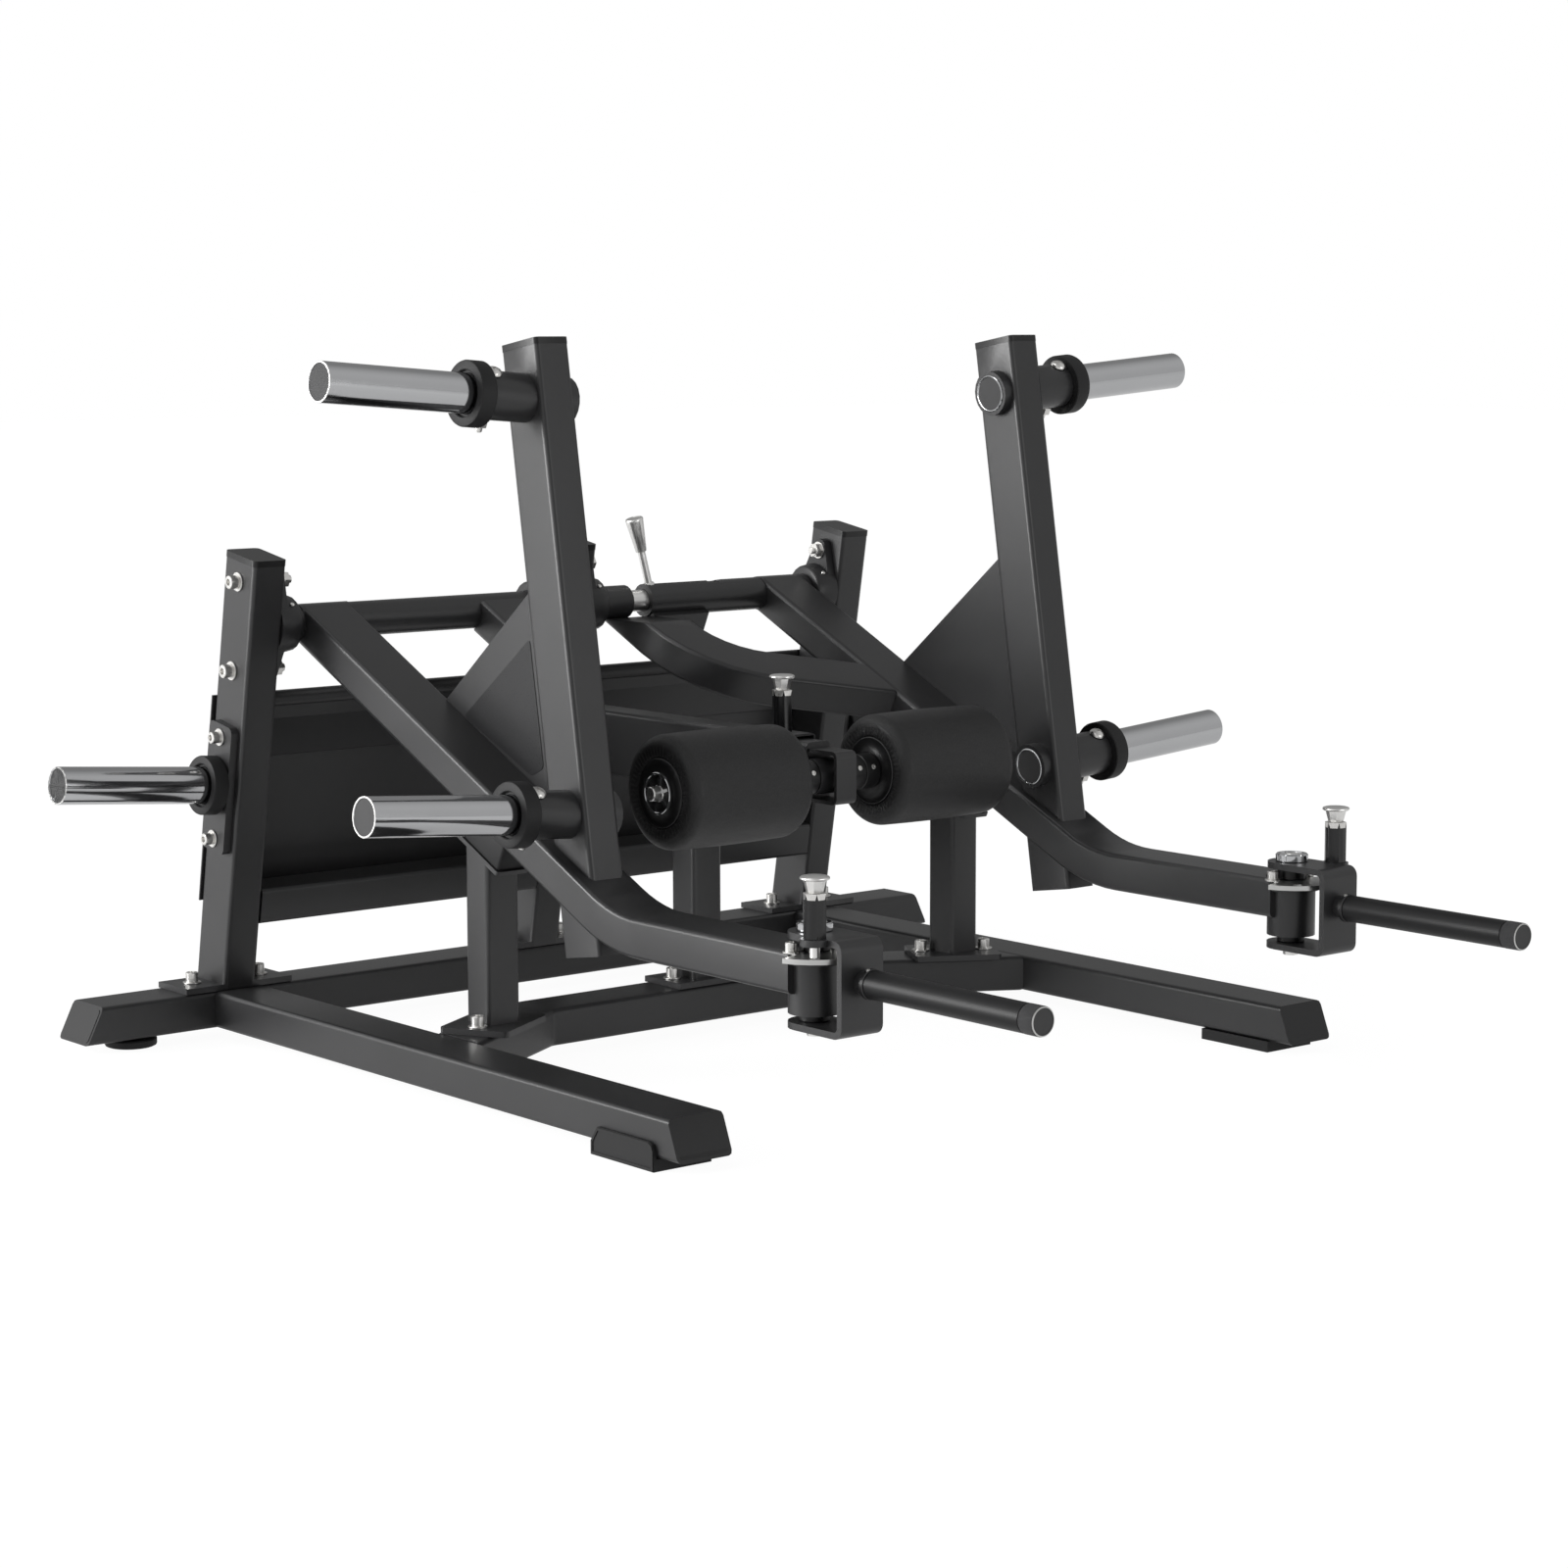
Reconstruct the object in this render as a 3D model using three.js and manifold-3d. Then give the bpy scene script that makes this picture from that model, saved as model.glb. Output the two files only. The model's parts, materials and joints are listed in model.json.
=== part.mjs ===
import * as THREE from "three";
import { mergeVertices } from "three/addons/utils/BufferGeometryUtils.js";
import Module from "manifold-3d";

// Plate-loaded deadlift machine. Millimetres, X to the right, Y to the rear, Z up, floor at Z 0.
// Two arms swing on one line through the top of three leaning uprights. Each carries a leaning
// blade with two plate horns and, at its free end, a handle on an indexed clevis.

const wasm = await Module();
wasm.setup();

// Clearances and facets
const gap = 0.3;
const overrun = 4;
const fineSides = 28;
const shoulderSteps = 3;
const wideSides = 20;
const slimSides = 10;
const cornerSteps = 2;
const bendSteps = 6;

// Steel tube of the base
const tubeWall = 3;
const tubeCorner = 6;
const capThickness = 8;
const plateThickness = 8;
const baseDepth = 80;
const baseHeight = 50;
const footHeight = 15;
const rearTopHalf = 721.5;
const rearBottomHalf = 746;
const railCentre = 512;
const railTopReach = 1041;
const railBottomReach = 1061;
const crossCentreReach = 396;
const crossStraightHalf = 282;
const crossTurn = 30;
const crossBendRadius = 60;

// Rubber feet
const rearFootInset = 86;
const rearFootX = rearBottomHalf - rearFootInset;
const rearFootRadius = 35;
const rearFootTaper = 3;
const footStudRadius = 5.5;
const footStudHeight = 9;
const padRear = 901;
const padFront = 1022;
const padWall = 6;
const padRise = 20;

// Uprights
const uprightWidth = 50;
const uprightDepth = 75;
const uprightLean = 9.86;
const uprightTop = 660.4;
const uprightPlateWidth = 165;
const uprightPlateDepth = 76;
const pivotReach = 86.5;
const pivotHeight = 565;
const lowerBeamBottom = 158;
const lowerBeamHeight = 50;
const lowerBeamDepth = 50;

// Rear sheet panel
const sheet = 2.5;
const panelHalf = 539.3;
const panelBottom = 176;
const panelFold = 372;
const panelBand = 422;
const panelBandLean = 3;
const panelTop = 461;

// Two-bolt flange bearings
const shaftRadius = 14.5;
const bearingWidth = 35;
const flangeThickness = 13;
const hubRadius = 40;
const hubNoseRadius = 34;
const hubBevel = 3;
const earRadius = 17;
const bearingBoltReach = 61;
const insertRadius = 25;
const insertRecess = 3;

// Stops that carry the resting arms
const stopCentre = 400;
const stopPostSize = 50;
const stopReach = 472;
const stopLength = 104;
const stopPlate = 6;
const bumperThickness = 47;
const bumperLength = 98;
const bumperWidth = 46;
const bumperCorner = 4;
const postPlateLength = 124;
const postPlateDepth = 96;

// Centre post, sleeve beam and roller carriage
const postSize = 50;
const postPlateX = 120;
const postPlateY = 80;
const webPlate = 6;
const webReach = 120;
const sleeveWidth = 50;
const sleeveHeight = 90;
const sleeveBottom = 337;
const sleeveFront = 620;
const pinReach = 581;
const pinRadius = 5.5;
const pinHousingRadius = 13;
const pinHousingHeight = 50;
const pinHexWidth = 24;
const pinHexHeight = 7;
const knobRadius = 17;
const knobHeight = 21;
const knobWaistRadius = 10;
const carrierWidth = 40;
const carrierHeight = 80;
const carrierRear = 330;
const carrierFront = 655;
const carrierEndPlate = 5;
const carrierHolePitch = 40;
const carrierHoles = 4;
const carrierHoleRadius = 6.5;
const yokePlate = 5;
const yokeWidth = 34;
const yokeHeight = 70;
const yokeReach = 712;
const yokeBend = 9;
const bossRadius = 24;
const bossHalf = 28;
const rollerReach = 670.7;
const rollerHeight = 377.3;
const rollerRadius = 75;
const rollerInner = 75.7;
const rollerOuter = 275.5;
const rollerShoulder = 16;
const rollerCrown = 1.2;
const rollerEndDisc = 46.5;
const rollerEndRecess = 2;
const axleRadius = 12.5;
const axleWasherRadius = 27;
const axleWasher = 4;
const axleBoltRadius = 12;
const axleReach = 297;

// Arms
const armCentre = 401.5;
const armWidth = 80;
const armHeight = 50;
const armSlope = 25.43;
const armLevel = 232;
const armBendRadius = 230;
const pivotTubeRadius = 24;
const pivotTubeBore = 19;
const shaftReach = 508;
const braceCentre = 115;
const braceTurn = 69.9;
const braceCorner = 206.2;
const braceBendRadius = 143.8;
const braceStart = 14;
const leftTubeEnd = 60.8;
const leftBoreEnd = 112;
const stubEnd = 113;
const rightTubeStart = 147;
const strutInner = 150;
const strutOuter = 250;
const strutDepth = 28;
const strutAhead = 20;
const strutReach = 62;
const strutSeat = 8;

// Sliding coupler between the arms
const rodRadius = 15.75;
const rodEnd = 205;
const noseRadius = 10.5;
const noseReach = 95;
const noseChamfer = 2;
const slotStart = 150.5;
const slotEnd = 267;
const slotWidth = 13;
const notchEnd = 291;
const notchWidth = 22;
const leverCentre = 163.4;
const leverLean = 15;
const leverRadius = 5;
const leverLength = 125;
const leverGripLength = 51;
const leverGripTop = 13;
const leverGripFoot = 8;

// Blades, gussets and plate horns
const bladeCentre = 399;
const bladeWidth = 50;
const bladeDepth = 75;
const bladeLean = 9.2;
const bladeReach = 677.2;
const bladeReachHeight = 365;
const bladeTop = 942.8;
const bladeBottom = 190;
const gussetPlate = 6;
const gussetToe = 262;
const gussetTopHeight = 683;
const gussetLap = 6;
const gussetFlangeWidth = 28;
const gussetFlangeTop = 668;
const hornRadius = 25;
const hornWall = 4;
const hornDisc = 4;
const hornDiscRecess = 1.5;
const hornTilt = 4.5;
const upperHornHeight = 871.5;
const lowerHornHeight = 363;
const hornInner = 359;
const hornTip = 719;
const hornSleeveRadius = 30.5;
const hornSleeveInner = 360.5;
const hornSleeveEnd = 490;
const hornBoltX = 478;
const hornBoltRadius = 5.5;
const collarRadius = 41;
const collarWidth = 23;
const collarRecessRadius = 29;
const collarRecess = 5;
const collarBevel = 2;
const storagePlate = 11;
const storagePlateDepth = 57;
const storagePlateBottom = 258;
const storagePlateTop = 433;
const storagePlateCorner = 8;
const storageTilt = 4.7;
const storageHeight = 348.7;
const storageCollarRadius = 40;
const storageCollarWidth = 25;
const storageTip = 785.5;

// Indexed handles
const handleReach = 1123;
const barrelRadius = 31;
const barrelBottom = 182;
const barrelTop = 241;
const barrelFlangeRadius = 36;
const barrelFlange = 7;
const indexPlate = 6;
const indexRadius = 64;
const indexFrom = -165;
const indexTo = -15;
const indexHoleReach = 55;
const indexStep = 40;
const indexRest = -50;
const indexCount = 3;
const indexPinRadius = 6;
const clevisWidth = 62;
const clevisPlate = 8;
const clevisBottom = 165;
const clevisTop = 277;
const clevisReach = 83;
const clevisBend = 13;
const clevisInnerBend = 5;
const clevisEarRadius = 17;
const swivelPinRadius = 10;
const swivelSpacerRadius = 18;
const swivelCapRadius = 21;
const swivelCapHeight = 10;
const swivelCapBevel = 2;
const swivelNutWidth = 30;
const swivelNutHeight = 12;
const plungerHousingRadius = 13;
const plungerHousingHeight = 45;
const plungerHexHeight = 7;
const plungerHexWidth = 24;
const plungerKnobRadius = 17.5;
const plungerKnobHeight = 20;
const gripCentre = 400;
const gripHeight = 228;
const gripCoreRadius = 12.5;
const gripNeckRadius = 14;
const gripRingRadius = 17.5;
const gripRingReach = handleReach + 95;
const gripRing = 6;
const gripRadius = 17;
const gripEnd = handleReach + 374;
const gripEndRecess = 1;
const gripEndRound = 3;

// Helpers for vectors, outlines and solids
const V = (x, y, z) => new THREE.Vector3(x, y, z);
const X = V(1, 0, 0);
const Y = V(0, 1, 0);
const Z = V(0, 0, 1);
const rad = THREE.MathUtils.degToRad;
const sin = (degrees) => Math.sin(rad(degrees));
const cos = (degrees) => Math.cos(rad(degrees));
const tan = (degrees) => Math.tan(rad(degrees));
const cross = (a, b) => a.clone().cross(b);
const bore = (radius, sides) => (radius + gap) / Math.cos(Math.PI / sides);

function solid(geometry) {
  const bare = geometry.clone();
  bare.deleteAttribute("normal");
  bare.deleteAttribute("uv");
  const merged = mergeVertices(bare);
  const points = Float32Array.from(merged.attributes.position.array);
  const source = merged.index.array;
  const at = (i) => V(points[3 * i], points[3 * i + 1], points[3 * i + 2]);
  const triangles = [];
  let volume = 0;
  for (let i = 0; i < source.length; i += 3) {
    const [a, b, c] = [source[i], source[i + 1], source[i + 2]];
    if (a === b || b === c || c === a) continue;
    triangles.push(a, b, c);
    volume += at(a).dot(cross(at(b), at(c)));
  }
  if (volume < 0) triangles.reverse();
  return new wasm.Manifold(new wasm.Mesh({
    numProp: 3, vertProperties: points, triVerts: Uint32Array.from(triangles),
  }));
}

function geometryOf(body) {
  const mesh = body.getMesh();
  const geometry = new THREE.BufferGeometry();
  geometry.setAttribute("position", new THREE.BufferAttribute(mesh.vertProperties, 3));
  geometry.setIndex(new THREE.BufferAttribute(mesh.triVerts, 1));
  return geometry;
}

const join = (first, ...rest) => rest.reduce((whole, piece) => whole.add(piece), first);
const cut = (first, ...rest) => rest.reduce((whole, piece) => whole.subtract(piece), first);

function mirrored(body) {
  return solid(geometryOf(body).applyMatrix4(new THREE.Matrix4().makeScale(-1, 1, 1)));
}

function block(x, y, z) {
  const size = V(x[1] - x[0], y[1] - y[0], z[1] - z[0]);
  const box = new THREE.BoxGeometry(size.x, size.y, size.z);
  box.translate((x[0] + x[1]) / 2, (y[0] + y[1]) / 2, (z[0] + z[1]) / 2);
  return solid(box);
}

function roundedOutline(width, height, radius) {
  const outline = [];
  [[1, 1], [-1, 1], [-1, -1], [1, -1]].forEach(([sx, sy], quarter) => {
    for (let i = 0; i <= cornerSteps; i++) {
      const turn = (quarter + i / cornerSteps) * Math.PI / 2;
      outline.push([
        sx * (width / 2 - radius) + radius * Math.cos(turn),
        sy * (height / 2 - radius) + radius * Math.sin(turn),
      ]);
    }
  });
  return outline;
}

const squareOutline = (width, height) =>
  [[1, 1], [-1, 1], [-1, -1], [1, -1]].map(([sx, sy]) => [sx * width / 2, sy * height / 2]);

function roundOutline(radius, sides) {
  return Array.from({ length: sides }, (_, i) => {
    const turn = 2 * Math.PI * i / sides;
    return [radius * Math.cos(turn), radius * Math.sin(turn)];
  });
}

// Points [u, v, radius] with each radius turned into an arc
function filleted(points, closed) {
  const result = [];
  points.forEach(([u, v, radius], i) => {
    const before = points[(i + points.length - 1) % points.length];
    const after = points[(i + 1) % points.length];
    const free = !closed && (i === 0 || i === points.length - 1);
    if (!radius || free) {
      result.push([u, v]);
      return;
    }
    const corner = new THREE.Vector2(u, v);
    const back = new THREE.Vector2(before[0], before[1]).sub(corner).normalize();
    const ahead = new THREE.Vector2(after[0], after[1]).sub(corner).normalize();
    const half = Math.acos(THREE.MathUtils.clamp(back.dot(ahead), -1, 1)) / 2;
    const middle = back.clone().add(ahead).normalize();
    const centre = corner.clone().addScaledVector(middle, radius / Math.sin(half));
    const start = corner.clone().addScaledVector(back, radius / Math.tan(half)).sub(centre);
    const end = corner.clone().addScaledVector(ahead, radius / Math.tan(half)).sub(centre);
    const sweepAngle = Math.atan2(start.cross(end), start.dot(end));
    for (let k = 0; k <= bendSteps; k++) {
      const turned = start.clone().rotateAround(new THREE.Vector2(), sweepAngle * k / bendSteps);
      result.push([centre.x + turned.x, centre.y + turned.y]);
    }
  });
  return result;
}

// Section axes at each point of a path that lies square to "up"
function stations(points, up, firstCut, lastCut) {
  const legs = points.slice(1).map((p, i) => p.clone().sub(points[i]).normalize());
  return points.map((o, i) => {
    const before = legs[Math.max(i - 1, 0)];
    const after = legs[Math.min(i, legs.length - 1)];
    const side = cross(up, before).normalize();
    let across = cross(up, before.clone().add(after)).normalize();
    if (i === 0 && firstCut) across = firstCut.clone();
    if (i === points.length - 1 && lastCut) across = lastCut.clone();
    return { o, a: across.divideScalar(across.dot(side)), b: up };
  });
}

function sweep(section, places) {
  const outline = section.map(([u, v]) => new THREE.Vector2(u, v));
  if (THREE.ShapeUtils.isClockWise(outline)) outline.reverse();
  const count = outline.length;
  const positions = [];
  const index = [];
  for (const { o, a, b } of places) {
    for (const p of outline) {
      const point = o.clone().addScaledVector(a, p.x).addScaledVector(b, p.y);
      positions.push(point.x, point.y, point.z);
    }
  }
  for (let i = 0; i < places.length - 1; i++) {
    for (let j = 0; j < count; j++) {
      const [p, q] = [i * count, (i + 1) * count];
      const k = (j + 1) % count;
      index.push(p + j, p + k, q + j, p + k, q + k, q + j);
    }
  }
  const last = (places.length - 1) * count;
  for (const [i, j, k] of THREE.ShapeUtils.triangulateShape(outline, [])) {
    index.push(k, j, i, last + i, last + j, last + k);
  }
  const geometry = new THREE.BufferGeometry();
  geometry.setAttribute("position", new THREE.Float32BufferAttribute(positions, 3));
  geometry.setIndex(index);
  return solid(geometry);
}

// Rectangular tube along a path; a capped end is closed, any other runs open
function tube(width, height, points, up, { firstCut, lastCut, firstCap, lastCap } = {}) {
  const outer = sweep(
    roundedOutline(width, height, tubeCorner), stations(points, up, firstCut, lastCut));
  const inner = points.map((p) => p.clone());
  const n = points.length;
  const away = (from, to) => to.clone().sub(from).normalize();
  inner[0].addScaledVector(away(points[1], points[0]), firstCap ? -firstCap : overrun);
  inner[n - 1].addScaledVector(away(points[n - 2], points[n - 1]), lastCap ? -lastCap : overrun);
  const hollow = sweep(
    squareOutline(width - 2 * tubeWall, height - 2 * tubeWall),
    stations(inner, up, firstCut, lastCut));
  return { outer, hollow, whole: outer.subtract(hollow) };
}

// Turned form: profile of [distance along the axis, radius]
function turned(profile, origin, axis, sides) {
  const points = profile.map(([s, r]) => new THREE.Vector2(r, s));
  if (profile[0][1] > 0) points.push(points[0].clone());
  const lathe = new THREE.LatheGeometry(points, sides);
  lathe.applyQuaternion(new THREE.Quaternion().setFromUnitVectors(Y, axis));
  lathe.translate(origin.x, origin.y, origin.z);
  return solid(lathe);
}

function rod(radius, from, to, sides) {
  const span = to.clone().sub(from);
  const length = span.length();
  return turned([[0, 0], [0, radius], [length, radius], [length, 0]], from, span.normalize(), sides);
}

// Flat plate: an outline in the plane of two axes, extruded along their cross product
function plate(outline, origin, a, b, from, to) {
  const normal = cross(a, b);
  const at = (distance) => ({ o: origin.clone().addScaledVector(normal, distance), a, b });
  return sweep(outline, [at(from), at(to)]);
}

// Colours and finishes
const finish = (color, roughness, metalness) =>
  new THREE.MeshStandardMaterial({ color, roughness, metalness });
const powder = () => finish(0x1d1e20, 0.55, 0.25);
const chrome = () => finish(0xd9dadc, 0.12, 1);
const zinc = () => finish(0xa9abae, 0.35, 1);
const rubber = () => finish(0x141414, 0.85, 0);
const vinyl = () => finish(0x1a1a1b, 0.6, 0);
const castIron = () => finish(0x232426, 0.5, 0.4);

// Groups: the frame, the roller carriage, each arm at its pivot and each handle at its swivel
const machine = new THREE.Group();
const group = (parent, origin) => {
  const made = new THREE.Group();
  made.userData.origin = origin;
  made.position.copy(origin).sub(parent.userData.origin ?? V(0, 0, 0));
  parent.add(made);
  return made;
};
machine.userData.origin = V(0, 0, 0);
const frame = group(machine, V(0, 0, 0));
const carriage = group(frame, V(0, -rollerReach, rollerHeight));
const pivot = (side) => V(side * armCentre, -pivotReach, pivotHeight);
const arms = { left: group(frame, pivot(-1)), right: group(frame, pivot(1)) };
const swivel = (side) => V(side * armCentre, -handleReach, barrelTop);
const handles = {
  left: group(arms.left, swivel(-1)), right: group(arms.right, swivel(1)),
};

function add(parent, name, body, material) {
  const geometry = geometryOf(body);
  const { x, y, z } = parent.userData.origin;
  geometry.translate(-x, -y, -z);
  geometry.computeVertexNormals();
  const mesh = new THREE.Mesh(geometry, material);
  mesh.name = name;
  parent.add(mesh);
}

function pair(parents, name, body, material) {
  add(parents.right ?? parents, `right_${name}`, body, material());
  add(parents.left ?? parents, `left_${name}`, mirrored(body), material());
}

// Base frame
const baseMid = footHeight + baseHeight / 2;
const baseTop = footHeight + baseHeight;
const rearEnd = (rearTopHalf + rearBottomHalf) / 2;
const rearSlant = (rearBottomHalf - rearTopHalf) / baseHeight;
const studHole = (side) => rod(
  bore(footStudRadius, slimSides), V(side * rearFootX, 0, footHeight - overrun),
  V(side * rearFootX, 0, footHeight + tubeWall + overrun), slimSides);
const rearTube = tube(baseHeight, baseDepth, [V(-rearEnd, 0, baseMid), V(rearEnd, 0, baseMid)], Y, {
  firstCut: V(-rearSlant, 0, -1), lastCut: V(rearSlant, 0, -1),
  firstCap: capThickness, lastCap: capThickness,
});
add(frame, "rear_base_tube", cut(rearTube.whole, studHole(-1), studHole(1)), powder());

const railEnd = (railTopReach + railBottomReach) / 2;
const railSlant = (railBottomReach - railTopReach) / baseHeight;
const rail = tube(baseHeight, baseDepth, [
  V(railCentre, -baseDepth / 2 - gap, baseMid), V(railCentre, -railEnd, baseMid),
], X, { lastCut: V(0, -railSlant, -1), lastCap: capThickness });
pair(frame, "side_rail", rail.whole, powder);

const crossEnd = railCentre - baseDepth / 2 - gap;
const crossDrop = (crossEnd - crossStraightHalf) * tan(crossTurn);
const crossPath = filleted([
  [-crossEnd, -crossCentreReach - crossDrop, 0],
  [-crossStraightHalf, -crossCentreReach, crossBendRadius],
  [crossStraightHalf, -crossCentreReach, crossBendRadius],
  [crossEnd, -crossCentreReach - crossDrop, 0],
]).map(([x, y]) => V(x, y, baseMid));
const crossTube = tube(baseDepth, baseHeight, crossPath, Z, { firstCut: Y, lastCut: Y });
add(frame, "front_cross_tube", crossTube.whole, powder());

// Feet: a moulded shoe wraps the outer side and the underside of each rail, discs carry the rear
const railOuter = railCentre + baseDepth / 2;
const shoeOutline = filleted([
  [railCentre - baseDepth / 2, 0, padWall / 2],
  [railOuter + gap + padWall, 0, padWall],
  [railOuter + gap + padWall, footHeight + padRise, padWall / 2],
  [railOuter + gap, footHeight + padRise, 0],
  [railOuter + gap, footHeight - gap, 0],
  [railCentre - baseDepth / 2, footHeight - gap, 0],
], true);
const shoe = plate(shoeOutline, V(0, 0, 0), X, Z, padRear, padFront);
pair(frame, "front_foot_pad", shoe, rubber);
const rearFoot = turned([
  [0, 0], [0, rearFootRadius - rearFootTaper], [rearFootTaper, rearFootRadius],
  [footHeight - gap, rearFootRadius - rearFootTaper], [footHeight - gap, footStudRadius],
  [footHeight + footStudHeight, footStudRadius], [footHeight + footStudHeight, 0],
], V(rearFootX, 0, 0), Z, wideSides);
pair(frame, "rear_foot", rearFoot, rubber);

// Uprights lean towards the front; their centre line runs through the arm pivot
const leanAxis = V(0, -sin(uprightLean), cos(uprightLean));
const leanDepth = V(0, cos(uprightLean), sin(uprightLean));
const uprightY = (z) => -pivotReach - (z - pivotHeight) * tan(uprightLean);
const uprightAt = (x, z) => V(x, uprightY(z), z);
const plateLow = baseTop + gap;
const pivotAt = (x) => V(x, -pivotReach, pivotHeight);

function upright(x, ...bores) {
  const body = tube(uprightDepth, uprightWidth, [uprightAt(x, plateLow), uprightAt(x, uprightTop)], X, {
    firstCut: V(0, -1, 0), lastCap: capThickness,
  });
  const footPlate = block(
    [x - uprightPlateWidth / 2, x + uprightPlateWidth / 2],
    [uprightY(plateLow) - uprightPlateDepth / 2, uprightY(plateLow) + uprightPlateDepth / 2],
    [plateLow, plateLow + plateThickness]);
  return cut(join(body.outer, footPlate), body.hollow, ...bores);
}

const uprightHalf = uprightWidth / 2;
const shaftHole = rod(
  shaftRadius + tubeWall, pivotAt(railCentre - uprightHalf - overrun),
  pivotAt(railCentre), wideSides);
pair(frame, "upright", upright(railCentre, shaftHole), powder);
const noseHole = rod(
  shaftRadius, pivotAt(-uprightHalf - overrun), pivotAt(uprightHalf + overrun), wideSides);
add(frame, "middle_upright", upright(0, noseHole), powder());

// Lower beam between the uprights, flush with their front faces
const lowerMid = lowerBeamBottom + lowerBeamHeight / 2;
const lowerCentre = uprightAt(0, lowerMid)
  .addScaledVector(leanDepth, (lowerBeamDepth - uprightDepth) / 2);
const lowerBeam = tube(lowerBeamDepth, lowerBeamHeight, [
  lowerCentre.clone().setX(uprightHalf + gap),
  lowerCentre.clone().setX(railCentre - uprightHalf - gap),
], leanAxis);
pair(frame, "lower_cross_beam", lowerBeam.whole, powder);

// Rear sheet: flat face on the uprights, a narrow band and an upright top edge
const onRear = (z) => uprightAt(0, z).addScaledVector(leanDepth, uprightDepth / 2 + gap);
const panelPath = (() => {
  const points = [onRear(panelBottom), onRear(panelFold)];
  const heading = 90 + uprightLean - panelBandLean;
  const bandLength = (panelBand - panelFold) / cos(uprightLean);
  points.push(points[1].clone().add(V(0, cos(heading), sin(heading)).multiplyScalar(bandLength)));
  points.push(points[2].clone().addScaledVector(leanAxis, (panelTop - panelBand) / cos(uprightLean)));
  return points;
})();
const panelPlaces = stations(panelPath, X);
const rearPanel = sweep([
  [-sheet, -panelHalf], [0, -panelHalf], [0, panelHalf], [-sheet, panelHalf],
], panelPlaces);
add(frame, "rear_panel", rearPanel, powder());

// Flange bearings on the facing sides of the uprights
function bearing(faceX, outward) {
  const axis = X.clone().multiplyScalar(outward);
  const origin = pivotAt(faceX);
  const across = leanDepth.clone().multiplyScalar(outward);
  const flangeOutline = [];
  for (let i = 0; i < wideSides; i++) {
    const turn = 360 * i / wideSides;
    const [u, v] = [cos(turn), sin(turn)];
    const reach = Math.abs(v) > Math.abs(u) ? Math.sign(v) * bearingBoltReach : 0;
    const radius = reach ? earRadius : hubRadius - hubBevel;
    flangeOutline.push([radius * u, reach + radius * v]);
  }
  const flange = plate(flangeOutline, origin, across, leanAxis, 0, flangeThickness);
  const hub = turned([
    [0, 0], [0, hubRadius], [flangeThickness + hubBevel, hubRadius],
    [bearingWidth - hubBevel, hubNoseRadius + hubBevel], [bearingWidth, hubNoseRadius],
    [bearingWidth, insertRadius], [bearingWidth - insertRecess, insertRadius],
    [bearingWidth - insertRecess, 0],
  ], origin, axis, wideSides);
  const insert = rod(
    insertRadius - insertRecess, origin, origin.clone().addScaledVector(axis, bearingWidth), wideSides);
  const shaftBore = rod(
    bore(shaftRadius, slimSides), origin.clone().addScaledVector(axis, -overrun),
    origin.clone().addScaledVector(axis, bearingWidth + overrun), slimSides);
  return cut(join(flange, hub, insert), shaftBore);
}

const outerBearingFace = railCentre - uprightHalf - gap;
const innerBearingFace = uprightHalf + gap;
pair(frame, "outer_bearing", bearing(outerBearingFace, -1), castIron);
pair(frame, "inner_bearing", bearing(innerBearingFace, 1), castIron);

// Arm frame: "ahead" runs down the slope from the pivot, "over" stands square on its top face
const ahead = V(0, -cos(armSlope), -sin(armSlope));
const over = V(0, -sin(armSlope), cos(armSlope));
const armAt = (x, u, n) => pivotAt(x).addScaledVector(ahead, u).addScaledVector(over, n);

// Stop posts with slanted heads and rubber blocks
const headTop = -(armHeight / 2 + gap + bumperThickness + gap);
const headLow = headTop - stopPlate;
const headOutline = (width, length, corner) => roundedOutline(width, length, corner);
const bumper = plate(
  headOutline(bumperLength, bumperWidth, bumperCorner), armAt(stopCentre, stopReach, 0),
  ahead, X, headTop + gap, -armHeight / 2 - gap);
pair(frame, "stop_bumper", bumper, rubber);
const stopHead = plate(
  headOutline(stopLength, stopPostSize, bumperCorner), armAt(stopCentre, stopReach, 0),
  ahead, X, headLow, headTop);
const postTopAt = armAt(stopCentre, stopReach, headLow + stopPlate / 2);
const stopTube = tube(stopPostSize, stopPostSize, [V(stopCentre, postTopAt.y, plateLow), postTopAt], X, {
  lastCut: V(0, -1, -tan(armSlope)),
});
const along = V(cos(crossTurn), -sin(crossTurn), 0);
const acrossPost = V(sin(crossTurn), cos(crossTurn), 0);
const postPlate = plate(
  roundedOutline(postPlateLength, postPlateDepth, tubeCorner),
  V(stopCentre, postTopAt.y, plateLow), along, acrossPost, 0, plateThickness);
const stopHollow = stopTube.hollow.subtract(stopHead);
const stopPost = cut(join(stopTube.outer, stopHead, postPlate), stopHollow);
pair(frame, "stop_post", stopPost, powder);

// Centre post with its plate and web, and the sleeve beam it carries
const sleeveMid = sleeveBottom + sleeveHeight / 2;
const postTop = sleeveBottom - gap;
const centreTube = tube(postSize, postSize, [
  V(0, -crossCentreReach, plateLow), V(0, -crossCentreReach, postTop),
], X);
const centrePlate = block(
  [-postPlateX / 2, postPlateX / 2],
  [-crossCentreReach - postPlateY / 2, -crossCentreReach + postPlateY / 2],
  [plateLow, plateLow + plateThickness]);
const postRear = -crossCentreReach + postSize / 2;
const web = plate([
  [postRear - tubeWall / 2, postTop - webReach], [postRear + webReach, postTop - webPlate],
  [postRear + webReach, postTop], [postRear - tubeWall / 2, postTop],
], V(-webPlate / 2, 0, 0), Y, Z, 0, webPlate);
const centrePost = join(cut(join(centreTube.outer, centrePlate), centreTube.hollow), web);
add(frame, "centre_post", centrePost, powder());

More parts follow.
